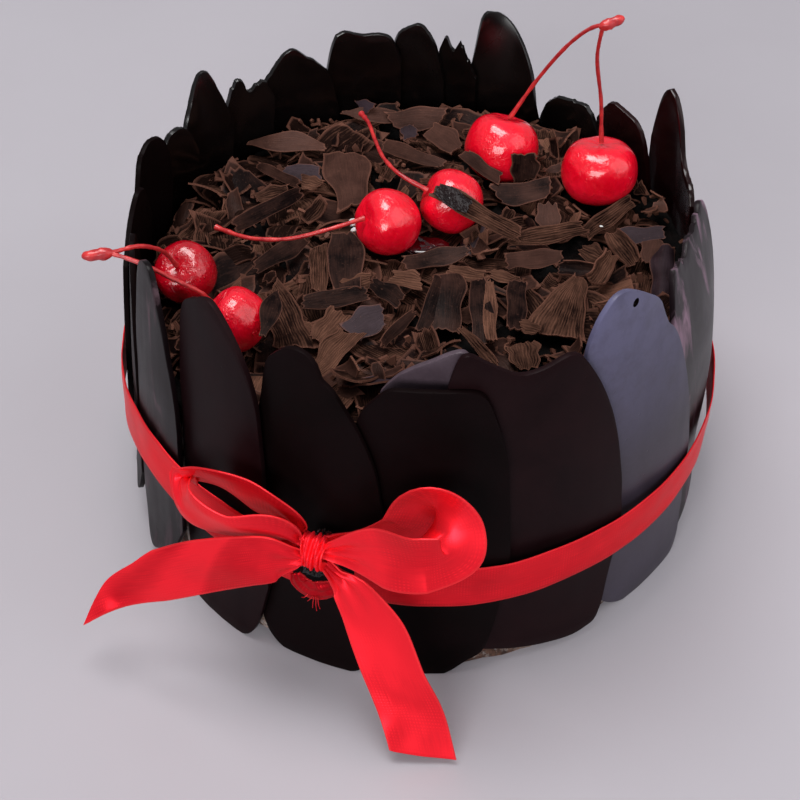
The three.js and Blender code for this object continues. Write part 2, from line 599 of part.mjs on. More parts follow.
add('cake_core', coreGeometry(), spongeAndCream);
add('shavings', heapGeometry(), shavedChocolate);
for (const shape of panels) add(shape.name, panelGeometry(shape), darkChocolate);
for (const [name, cherry] of Object.entries(cherries)) {
  add(`cherry_${name}`, cherryGeometry(cherry), cherryRed);
}
for (const [name, twig] of Object.entries(stems)) add(name, geometryOf(stemSolid(twig)), stemRed);
add('ribbon_band', bandGeometry(), redSatin);
add('bow_knot', knotGeometry(), redSatin);
for (const [name, strip] of Object.entries(bow)) add(name, stripGeometry(strip), redSatin);
add('chocolate_dab', dabGeometry(), darkChocolate);

export default cake;
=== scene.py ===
"""Black forest cake: glossy chocolate panels around a heap of shavings and cherries, tied with satin.

Sizes in this file are millimetres and are turned into metres where a mesh is made. A place around
the cake is an angle in degrees from the ribbon's knot, growing towards +X.
"""

import random
from math import acos, atan2, cos, degrees, exp, pi, radians, sin, sqrt

import bpy
import numpy as np
from mathutils import Matrix, Quaternion, Vector, noise


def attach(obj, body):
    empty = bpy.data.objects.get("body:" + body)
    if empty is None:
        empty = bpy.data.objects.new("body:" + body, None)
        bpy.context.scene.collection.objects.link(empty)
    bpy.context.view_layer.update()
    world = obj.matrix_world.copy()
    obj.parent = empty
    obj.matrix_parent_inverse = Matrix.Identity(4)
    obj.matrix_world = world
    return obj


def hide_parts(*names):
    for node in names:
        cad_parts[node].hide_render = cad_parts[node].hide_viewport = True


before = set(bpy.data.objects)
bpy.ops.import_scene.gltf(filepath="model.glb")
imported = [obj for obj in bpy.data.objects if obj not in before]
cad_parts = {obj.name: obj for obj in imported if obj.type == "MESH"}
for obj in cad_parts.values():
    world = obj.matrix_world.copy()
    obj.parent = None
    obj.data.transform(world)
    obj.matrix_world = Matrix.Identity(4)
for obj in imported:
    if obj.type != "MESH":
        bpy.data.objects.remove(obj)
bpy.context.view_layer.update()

MM = 0.001
scene = bpy.context.scene

# ---- sizes, most of them shared with the solids

gap = 0.35
wall = dict(radius=86, lean_height=80, mean_lean=4, side_lean=3.5, flare=1.8, flare_height=26,
            nod_from=40, nod_span=60,
            nod=[(0, 0), (45, 1), (65, 6), (85, 12.5), (100, 11.5), (115, 5), (130, 2), (150, 3.5),
                 (250, 3.5), (275, 2.4), (310, 1.2), (360, 0)])
panel = dict(lowest=0.3, thickness=1.4, tuck=3.2, curl_from=70, curl_span=30, slant_from=50, bevel=0.32,
             crowding=0.8)
panel_depth = panel["tuck"] + panel["thickness"]
core = dict(height=61, unevenness=0.7, foot_height=2.4, foot_bulge=3.6, foot_from=12, foot_to=62,
            side_from=0.12, side_to=0.8, crown=0.4)
heap = dict(floor=core["height"] + gap, rim=66, dome=7, rear_rise=4.5, bump=1.1, bed_depth=2.9, bed_lift=0.4)
ribbon = dict(width=16, thickness=0.4, bevel=0.1, wrinkle=0.3, knot_half_angle=5.5)
band = dict(out=0.55, lift=0.4,
            height=[(0, 39), (30, 36.6), (45, 37.6), (90, 37.6), (180, 38.5), (270, 39.5), (302, 41.5),
                    (318, 44), (330, 43.2), (360, 40)],
            gathered=[(0, 0.88), (110, 0.88), (250, 1), (360, 1)])
knot = dict(height=53.5, out=6.5, half_width=3.4, half_height=4.9, half_depth=3.3, length=18.0,
            wrap=(-35, 215))
dab = dict(half_width=4.6, half_height=9.6, half_depth=1.1, out=1.5, drop=6.4, lean=18)
stem_radius, knuckle_radius = 0.8, 1.7
fray = dict(top=34.2, outs=(5, 5.6, 5.4), radius=0.17)


def through(pairs):
    """A smooth curve through (place, value) pairs, as a function of place."""
    slope = []
    for i in range(len(pairs)):
        before, after = pairs[max(i - 1, 0)], pairs[min(i + 1, len(pairs) - 1)]
        slope.append((after[1] - before[1]) / (after[0] - before[0]))

    def value(place):
        i = 0
        while i < len(pairs) - 2 and place > pairs[i + 1][0]:
            i += 1
        span = pairs[i + 1][0] - pairs[i][0]
        t = min(max((place - pairs[i][0]) / span, 0), 1)
        rise = (1 - t) ** 2 * t * span * slope[i] - t * t * (1 - t) * span * slope[i + 1]
        return pairs[i][1] * (1 + 2 * t) * (1 - t) ** 2 + pairs[i + 1][1] * t * t * (3 - 2 * t) + rise

    return value


nod_around = through(wall["nod"])


def wall_radius(angle, z):
    lean = wall["mean_lean"] - wall["side_lean"] * sin(radians(angle))
    nod = nod_around(angle % 360) * (max(0, z - wall["nod_from"]) / wall["nod_span"]) ** 2
    flare = wall["flare"] * max(0, 1 - z / wall["flare_height"]) ** 2
    return wall["radius"] + flare - lean * z / wall["lean_height"] - nod


def from_axis(out, angle):
    """x and y at a distance from the cake's axis."""
    return out * sin(radians(angle)), -out * cos(radians(angle))


def on_wall(angle, z, out):
    return Vector((*from_axis(wall_radius(angle, z) + out, angle), z))


def heap_height(x, y):
    share = (x * x + y * y) / (wall["radius"] - panel_depth) ** 2
    bumps = sin(0.11 * x + 1) * cos(0.13 * y) + sin(0.07 * y - 0.05 * x)
    return (heap["rim"] + heap["dome"] * (1 - share) + heap["rear_rise"] * max(0, y / wall["radius"])
            + heap["bump"] * bumps)


def ripple(x, y, z=0.0):
    """Smooth unevenness from about -1 to 1."""
    return noise.noise(Vector((x, y, z))) * 1.6


def mix(a, b, share):
    return a + (b - a) * share


# ---- making meshes


def deselect():
    if bpy.context.object and bpy.context.object.mode != "OBJECT":
        bpy.ops.object.mode_set(mode="OBJECT")
    bpy.ops.object.select_all(action="DESELECT")


def only(piece):
    deselect()
    piece.select_set(True)
    bpy.context.view_layer.objects.active = piece


def named(name):
    piece = bpy.context.object
    piece.name = piece.data.name = name
    return piece


def move_points(piece, place):
    for point in piece.data.vertices:
        point.co = place(point.co) * MM
    piece.data.update()


def sheet_piece(name, columns, rows, place, width=1.0, length=1.0):
    """A flat grid whose points go to place(s, t), s and t from 0 to 1; s x t is its front.
    Its UV map runs over width and length."""
    deselect()
    bpy.ops.mesh.primitive_grid_add(x_subdivisions=columns, y_subdivisions=rows, size=2, calc_uvs=True)
    piece = named(name)
    move_points(piece, lambda co: place((co.x + 1) / 2, (co.y + 1) / 2))
    uv = piece.data.uv_layers[0].uv
    flat = np.zeros(len(uv) * 2, np.float32)
    uv.foreach_get("vector", flat)
    uv.foreach_set("vector", (flat.reshape(-1, 2) * (width, length)).astype(np.float32).ravel())
    return piece


def ball_piece(name, segments, rings, place):
    """A ball whose points go to place(angle, share), share from 0 at its foot to 1 at its top."""
    deselect()
    bpy.ops.mesh.primitive_uv_sphere_add(segments=segments, ring_count=rings, radius=1)
    piece = named(name)

    def put(co):
        share = 1 - acos(min(max(co.z, -1), 1)) / pi
        return place(degrees(atan2(co.x, -co.y)) % 360, share)

    move_points(piece, put)
    return piece


def lump_piece(name, segments, rings, place, shade_angle=80):
    """A ball whose points go to place(way, down, around): way is a point's direction from the
    middle, down its angle from the top and around its angle about the upright, in radians."""
    def put(angle, share):
        down, around = pi * (1 - share), radians(angle)
        way = Vector((sin(down) * sin(around), -sin(down) * cos(around), cos(down)))
        return place(way, down, around)

    piece = ball_piece(name, segments, rings, put)
    smooth(piece, shade_angle)
    return piece


def turn_towards(axis):
    return Vector((0, 0, 1)).rotation_difference(Vector(axis).normalized())


def point_values(mesh, name, values):
    made = mesh.attributes.new(name, "FLOAT", "POINT")
    made.data.foreach_set("value", np.asarray(values, np.float32).ravel())


def apply(piece, kind, **settings):
    only(piece)
    modifier = piece.modifiers.new(kind.lower(), kind)
    for key, value in settings.items():
        setattr(modifier, key, value)
    bpy.ops.object.modifier_apply(modifier=modifier.name)


def thicken(piece, thickness, offset=-1.0, rim=0, back=0):
    apply(piece, "SOLIDIFY", thickness=thickness * MM, offset=offset, use_even_offset=False,
          material_offset=back, material_offset_rim=rim)


def round_edges(piece, width, segments=2):
    apply(piece, "BEVEL", width=width * MM, segments=segments, limit_method="ANGLE",
          angle_limit=radians(50), harden_normals=False)


def smooth(piece, angle):
    only(piece)
    bpy.ops.object.shade_smooth_by_angle(angle=radians(angle))


def joined(pieces, name):
    deselect()
    for piece in pieces:
        piece.select_set(True)
    bpy.context.view_layer.objects.active = pieces[0]
    if len(pieces) > 1:
        bpy.ops.object.join()
    return named(name)


def belongs(piece, nodes, slot, *finishes):
    """Rides on the cake, stands for nodes and takes its finishes in order; slot is not used."""
    for k, finish in enumerate(finishes):
        if k < len(piece.data.materials):
            piece.data.materials[k] = finish
        else:
            piece.data.materials.append(finish)
    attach(piece, "root")
    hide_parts(*nodes)


# ---- finishes


class Tree:
    """Adds nodes to a material or a node group, and joins them up."""

    def __init__(self, tree):
        self.tree = tree

    def add(self, kind, _inputs=None, **settings):
        made = self.tree.nodes.new(kind)
        for key, value in settings.items():
            setattr(made, key, value)
        for key, value in (_inputs or {}).items():
            self.feed(made.inputs[key], value)
        return made

    def feed(self, socket, value):
        if isinstance(value, bpy.types.NodeSocket):
            self.tree.links.new(value, socket)
        else:
            socket.default_value = value

    def feeds(self, node, **values):
        """Feeds a node's inputs by name, with _ for each space."""
        for key, value in values.items():
            self.feed(node.inputs[key.replace("_", " ")], value)

    def place(self, output="Object"):
        return self.add("ShaderNodeTexCoord").outputs[output]

    def height_of(self, place):
        return self.add("ShaderNodeSeparateXYZ", {0: place}).outputs["Z"]

    def point_value(self, name):
        return self.add("ShaderNodeAttribute", attribute_name=name).outputs["Fac"]

    def math(self, operation, a, b=0.0, clamp=False):
        return self.add("ShaderNodeMath", {0: a, 1: b}, operation=operation, use_clamp=clamp).outputs[0]

    def times(self, a, b):
        return self.math("MULTIPLY", a, b)

    def plus(self, total, *terms, clamp=False):
        for k, term in enumerate(terms, 1):
            total = self.math("ADD", total, term, clamp and k == len(terms))
        return total

    def noise(self, vector, scale, detail, rough=0.5, stretch=None, twist=0.0):
        if stretch:
            vector = self.add("ShaderNodeMapping", {"Vector": vector, "Scale": stretch}).outputs[0]
        made = self.add("ShaderNodeTexNoise", {"Vector": vector, "Scale": scale, "Detail": detail,
                                               "Roughness": rough, "Distortion": twist})
        return made.outputs["Fac"]

    def between(self, value, low, high, to_low=0.0, to_high=1.0):
        made = self.add("ShaderNodeMapRange", {"Value": value, "From Min": low, "From Max": high,
                                               "To Min": to_low, "To Max": to_high})
        return made.outputs["Result"]

    def blend(self, share, a, b):
        """Mixes two colours, each a socket or a screen colour."""
        made = self.add("ShaderNodeMix", data_type="RGBA")
        self.feed(made.inputs[0], share)
        for socket, value in ((made.inputs[6], a), (made.inputs[7], b)):
            self.feed(socket, colour(value) if isinstance(value, tuple) else value)
        return made.outputs[2]

    def bump(self, height, strength, distance):
        return self.add("ShaderNodeBump", {"Height": height, "Strength": strength,
                                           "Distance": distance * MM}).outputs["Normal"]


def colour(screen):
    """A screen colour, three values from 0 to 255, as the light it stands for."""
    def light(c):
        return c / 12.92 if c <= 0.04045 else ((c + 0.055) / 1.055) ** 2.4
    return (*(light(c / 255) for c in screen), 1.0)


def material(name, **sockets):
    """A new material, its tree and its shader, with constants set on the shader's own sockets."""
    made = bpy.data.materials.new(name)
    made.use_nodes = True
    tree = Tree(made.node_tree)
    shader = made.node_tree.nodes["Principled BSDF"]
    tree.feeds(shader, **sockets)
    return made, tree, shader


def group(name, inputs, outputs):
    """A new shader node group with float, colour or vector sockets."""
    made = bpy.data.node_groups.new(name, "ShaderNodeTree")
    kinds = {float: "NodeSocketFloat", tuple: "NodeSocketColor", Vector: "NodeSocketVector"}
    for socket, value in inputs.items():
        new = made.interface.new_socket(name=socket, in_out="INPUT", socket_type=kinds[type(value)])
        if not isinstance(value, Vector):
            new.default_value = value
    for socket, kind in outputs.items():
        made.interface.new_socket(name=socket, in_out="OUTPUT", socket_type=kinds[kind])
    tree = Tree(made)
    return made, tree, tree.add("NodeGroupInput").outputs, tree.add("NodeGroupOutput")


def use(tree, made, **inputs):
    node = tree.add("ShaderNodeGroup", node_tree=made)
    tree.feeds(node, **inputs)
    return node.outputs


def mottle_group():
    """Cloudy tone, fine specks and rare pinholes of set chocolate."""
    made, tree, given, out = group(
        "set_chocolate", {"Vector": Vector(), "Dark": (0.0, 0.0, 0.0, 1.0), "Light": (0.1, 0.1, 0.1, 1.0)},
        {"Color": tuple, "Cloud": float, "Height": float})
    place = given["Vector"]
    cloud = tree.noise(place, 38, 4, 0.55, twist=0.6)
    fine = tree.between(tree.noise(place, 900, 2), 0.3, 0.7, -0.12, 0.12)
    share = tree.plus(tree.between(cloud, 0.35, 0.68), fine, clamp=True)
    pits = tree.add("ShaderNodeTexVoronoi", {"Vector": place, "Scale": 190.0}, feature="F1")
    pit = tree.between(pits.outputs["Distance"], 0.0, 0.09, -1.0, 0.0)
    tree.feeds(out, Color=tree.blend(share, given["Dark"], given["Light"]), Cloud=cloud,
               Height=tree.plus(tree.times(pit, 0.35), tree.noise(place, 55, 1)))
    return made


def strokes_group():
    """Upright strokes where chocolate was brushed or spread thin."""
    made, tree, given, out = group("brush_strokes", {"Vector": Vector(), "Cover": 0.5},
                                   {"Mask": float, "Height": float})
    place = given["Vector"]
    wide = tree.noise(place, 90, 5, 0.62, stretch=(1.0, 1.0, 0.16), twist=0.9)
    hair = tree.noise(place, 620, 2, stretch=(1.0, 1.0, 0.05))
    edge = tree.math("SUBTRACT", 1.0, given["Cover"])
    mask = tree.between(wide, tree.math("SUBTRACT", edge, 0.05), tree.plus(edge, 0.07))
    tree.feeds(out, Mask=mask, Height=tree.plus(mask, tree.times(hair, 0.5)))
    return made


set_chocolate, brush_strokes = mottle_group(), strokes_group()


def panel_finish(name, dark, light, roughness, gloss, strokes=0.0, stroke_and_sheen_tone=None, wave=0.25, tip=None):
    """Set chocolate. strokes is how much of it was brushed, and tip the colour of bloom and painted sheen
    that clouds its top.
    """
    made, tree, shader = material(name, Specular_IOR_Level=gloss)
    place = tree.place()
    mottle = use(tree, set_chocolate, Vector=place, Dark=colour(dark), Light=colour(light))
    tone, height = mottle["Color"], mottle["Height"]
    rough = tree.between(mottle["Cloud"], 0.3, 0.7, roughness - 0.05, roughness + 0.08)
    if strokes:
        brushed = use(tree, brush_strokes, Vector=place, Cover=strokes)
        # The strokes' pale tone is partly their own colour and partly a painted sheen.
        tone = tree.blend(brushed["Mask"], tone, stroke_and_sheen_tone)
        rough = tree.plus(rough, tree.times(brushed["Mask"], 0.14))
        height = tree.plus(height, tree.times(brushed["Height"], 0.25))
    # tip paints a sheen, partly bloom, in clouds that grow towards the panel's top.
    if tip:
        cloud = tree.between(tree.noise(place, 190, 5, 0.7), 0.36, 0.56, 0.72, 1.03)
        rise = tree.between(tree.height_of(place), 60 * MM, 112 * MM, 0.0, 0.8)
        tone = tree.blend(tree.times(rise, cloud), tone, tip)
    tree.feeds(shader, Base_Color=tone, Roughness=rough, Normal=tree.bump(height, wave, 0.5))
    return made


front_chocolate = panel_finish("front_chocolate", (19, 7, 9), (29, 14, 16), 0.42, 0.05)
black_chocolate = panel_finish("black_chocolate", (10, 5, 5), (17, 8, 9), 0.42, 0.03)
# The right panel's blue-grey is partly bloom and partly a painted reflection of cool light.
bloom_and_sheen_chocolate = panel_finish("bloom_and_sheen_chocolate", (44, 38, 47), (60, 54, 66), 0.4, 0.3, tip=(96, 94, 124))
# The pale strokes on the right side and far left panels are partly brushed chocolate and partly a painted
# sheen.
brushed_and_sheen_chocolate = panel_finish("brushed_and_sheen_chocolate", (15, 8, 10), (28, 18, 22), 0.36, 0.18,
                                 0.42, (140, 112, 128))
smeared_and_sheen_chocolate = panel_finish("smeared_and_sheen_chocolate", (9, 4, 6), (18, 10, 12), 0.36, 0.12, 0.38, (88, 68, 75))
pale_chocolate = panel_finish("pale_chocolate", (58, 46, 53), (86, 72, 81), 0.4, 0.3)
glossy_chocolate = panel_finish("glossy_chocolate", (7, 4, 4), (12, 8, 8), 0.24, 0.5, wave=0.5)
reddish_chocolate = panel_finish("reddish_chocolate", (18, 3, 4), (30, 7, 8), 0.2, 0.35, wave=0.4)


def shaving_finish(name, dark, light, roughness, gloss, ridges):
    """Shaved chocolate: ridges run along the shaving where the blade chattered. The points' tone is
    how light a shaving is, and their rim is 1 along its torn edges."""
    made, tree, shader = material(name, Specular_IOR_Level=gloss, Roughness=roughness,
                                  Specular_Tint=(1.0, 0.82, 0.78, 1.0))
    place, flat = tree.place(), tree.place("UV")
    along = tree.noise(flat, 1.3, 3, 0.6, stretch=(0.1, 1.5, 1.0))
    wave = tree.add("ShaderNodeTexWave", {
        "Vector": flat, "Scale": 0.46, "Distortion": 4.5, "Detail": 3.0, "Detail Scale": 0.7,
        "Detail Roughness": 0.6}, bands_direction="Y").outputs["Fac"]
    fade = tree.between(tree.noise(flat, 0.25, 2), 0.4, 0.6, 0.25, 1.0)
    ridge = tree.times(tree.between(wave, 0.1, 0.9), fade)
    grain = tree.noise(place, 900, 3, 0.65)
    blotch = tree.noise(place, 130, 4, 0.6)
    streaks = 0.12 + 0.2 * ridges
    share = tree.plus(tree.times(tree.point_value("tone"), 0.6), tree.between(blotch, 0.3, 0.7, -0.15, 0.3),
                      tree.between(along, 0.3, 0.7, -streaks, streaks),
                      tree.times(tree.math("SUBTRACT", ridge, 0.4), 0.38 * ridges), clamp=True)
    rim = tree.between(tree.point_value("rim"), 0.6, 1.0, 0.0, 0.5)
    tone = tree.blend(rim, tree.blend(share, dark, light), (124, 82, 68))
    speck = tree.between(tree.noise(place, 1500, 1), 0.66, 0.8, 0.0, 0.3)
    height = tree.plus(tree.times(ridge, ridges), tree.times(grain, 0.45),
                       tree.times(along, 0.5 + 0.6 * ridges))
    tree.feeds(shader, Base_Color=tree.blend(speck, tone, (104, 70, 58)), Normal=tree.bump(height, 0.7, 0.24))
    return made


smooth_shaving = shaving_finish("smooth_shaving", (13, 6, 6), (80, 53, 45), 0.42, 0.06, 0.12)
rough_shaving = shaving_finish("rough_shaving", (24, 12, 9), (113, 77, 62), 0.75, 0.04, 0.9)
# A blue-grey face, partly bloom and partly a painted sheen of cool light.
bloom_and_sheen_shaving = shaving_finish("bloom_and_sheen_shaving", (34, 24, 28), (68, 55, 62), 0.45, 0.16, 0.1)
# The finishes of a shaving's face, and of its back and torn edges.
dark_sides, pale_sides = (smooth_shaving, rough_shaving), (bloom_and_sheen_shaving, smooth_shaving)


def cherry_finish(name, dark, light):
    """Syrupy red skin with fine wrinkles and beads of syrup that catch the light."""
    made, tree, shader = material(name, Roughness=0.24, Specular_IOR_Level=0.6, IOR=1.45, Coat_Weight=0.7,
                                  Coat_Roughness=0.06, Subsurface_Weight=0.12, Subsurface_Scale=0.002,
                                  Subsurface_Radius=(1.0, 0.15, 0.1))
    place = tree.place()
    blush = tree.noise(place, 110, 3, 0.6)
    wrinkle = tree.noise(place, 300, 4, 0.62, stretch=(1.0, 1.0, 0.45), twist=1.2)
    beads = tree.add("ShaderNodeTexVoronoi", {"Vector": place, "Scale": 950.0, "Smoothness": 0.3},
                     feature="SMOOTH_F1").outputs["Distance"]
    wet = tree.between(tree.noise(place, 150, 2), 0.5, 0.62)
    bead = tree.times(tree.between(beads, 0.1, 0.42, 1.0, 0.0), wet)
    height = tree.plus(tree.times(bead, 0.5), tree.times(wrinkle, 1.5), tree.times(blush, 2.5))
    tree.feeds(shader, Base_Color=tree.blend(tree.between(blush, 0.35, 0.7), dark, light),
               Normal=tree.bump(height, 0.85, 0.34))
    return made


cherry_skin = cherry_finish("cherry_skin", (224, 2, 30), (250, 18, 48))
# A darker copy of the skin: painted shade for the cherry that lies in the left panels' shadow.
painted_shade_cherry_skin = cherry_finish("painted_shade_cherry_skin", (170, 2, 22), (214, 12, 36))


def satin_finish():
    """Woven satin: the UV map is the flat ribbon in millimetres, across and along. A value on its
    points paints light on it, from painted shade to a painted highlight."""
    made, tree, shader = material("red_satin", Metallic=0.5, Specular_IOR_Level=0.25,
                                  Specular_Tint=(1.0, 0.35, 0.35, 1.0))
    flat, half = tree.place("UV"), ribbon["width"] / 2
    across = tree.add("ShaderNodeSeparateXYZ", {0: flat}).outputs["X"]
    from_middle = tree.math("ABSOLUTE", tree.math("SUBTRACT", across, half))
    selvedge = tree.between(from_middle, half - 0.6, half - 0.35)

    def threads(direction):
        wave = tree.add("ShaderNodeTexWave", {"Vector": flat, "Scale": 0.42, "Distortion": 0.4},
                        bands_direction=direction).outputs["Fac"]
        return tree.between(wave, 0.25, 0.95)

    shown = tree.between(tree.noise(flat, 0.16, 2), 0.42, 0.62)
    weave = tree.times(tree.times(threads("X"), threads("Y")), shown)
    streak = tree.noise(flat, 1.3, 3, 0.6, stretch=(3.0, 0.1, 1.0))
    slow = tree.noise(tree.place(), 60, 2)
    # Painted shade and highlight, set along each strip.
    painted_light = tree.between(tree.point_value("painted_light"), -0.5, 0.85)
    share = tree.plus(tree.between(streak, 0.3, 0.7, -0.08, 0.1), tree.between(slow, 0.35, 0.65, -0.1, 0.1),
                      painted_light, tree.times(weave, 0.28), clamp=True)
    # The cloth runs from a painted shade red to a painted highlight red; streaks and weave add their own
    # tone.
    cloth = tree.blend(share, (160, 0, 17), (255, 38, 52))
    tone = tree.blend(tree.times(selvedge, 0.3), cloth, (255, 70, 72))
    height = tree.plus(tree.times(weave, 0.6), tree.times(selvedge, 0.6))
    tree.feeds(shader, Base_Color=tone, Roughness=tree.between(slow, 0.3, 0.7, 0.28, 0.4),
               Normal=tree.bump(height, 0.35, 0.12))
    return made


def cream_finish():
    """Whipped cream spread over chocolate sponge, with crumbs dragged through it."""
    made, tree, shader = material("cream_and_sponge", Roughness=0.6, Specular_IOR_Level=0.3,
                                  Subsurface_Weight=0.08, Subsurface_Scale=0.002)
    place = tree.place()
    patch = tree.plus(tree.noise(place, 75, 5, 0.65, stretch=(1.0, 1.0, 1.8), twist=0.5),
                      tree.between(tree.height_of(place), 0.0, 6 * MM, 0.08, 0.0))
    crumbs = tree.noise(place, 480, 3, 0.7)
    cream = tree.blend(tree.between(crumbs, 0.4, 0.7), (196, 186, 182), (150, 128, 112))
    sponge = tree.blend(tree.between(crumbs, 0.35, 0.65), (44, 27, 22), (92, 62, 48))
    tree.feeds(shader, Base_Color=tree.blend(tree.between(patch, 0.44, 0.56), cream, sponge),
               Normal=tree.bump(tree.plus(crumbs, patch), 0.8, 0.8))
    return made


red_satin, cream_and_sponge = satin_finish(), cream_finish()


def clouded(name, dark, light, cloud, relief=None, grain=None, edges=None, **sockets):
    """One tone clouded into another. relief is the strength and depth of bumps made from the same
    cloud, or from grain; edges are where the cloud starts and ends."""
    made, tree, shader = material(name, **sockets)
    place = tree.place()
    patches = tree.noise(place, *cloud)
    share = tree.between(patches, *edges) if edges else patches
    tree.feeds(shader, Base_Color=tree.blend(share, dark, light))
    if relief:
        tree.feeds(shader, Normal=tree.bump(tree.noise(place, *grain) if grain else patches, *relief))
    return made


# The bed's near-black is a painted shade for the deep gaps between the shavings.
packed_shavings_painted_shade = clouded("packed_shavings_painted_shade", (3, 2, 2), (16, 8, 7), (260, 4, 0.65), (1.0, 1.2),
                          edges=(0.45, 0.75), Roughness=0.85, Specular_IOR_Level=0.1)
wet_chocolate = clouded("wet_chocolate", (8, 3, 3), (30, 14, 13), (380, 3, 0.6), (0.9, 0.6),
                        Roughness=0.14, Specular_IOR_Level=0.5)
crumbled_chocolate = clouded("crumbled_chocolate", (8, 6, 7), (30, 22, 22), (700, 3, 0.7), (0.8, 0.5),
                             Roughness=0.25, Specular_IOR_Level=0.6)
cherry_stalk = clouded("cherry_stalk", (150, 20, 30), (214, 56, 54), (320, 3, 0.6), (0.5, 0.2), (900, 2),
                       edges=(0.3, 0.7), Roughness=0.32, Specular_IOR_Level=0.6)
cherry_syrup = clouded("cherry_syrup", (16, 2, 3), (50, 5, 8), (130, 2), (0.25, 0.3), (420, 2),
                       Roughness=0.08, Coat_Weight=0.4, Coat_Roughness=0.04)
whipped_cream = clouded("whipped_cream", (214, 208, 206), (236, 232, 232), (500, 2), (0.4, 0.4),
                        Roughness=0.45, Subsurface_Weight=0.1, Subsurface_Scale=0.002)
pale_floor = clouded("pale_floor", (170, 165, 171), (178, 174, 180), (9, 4, 0.55), Roughness=0.75,
                     Specular_IOR_Level=0.2)

# ---- chocolate panels

round_foot = [(0, 12), (0.15, 2), (0.35, 0), (0.7, 0), (0.87, 3), (1, 16)]
ragged_foot = [(0, 16), (0.25, 8), (0.45, 11), (0.65, 7), (0.85, 12), (1, 24)]

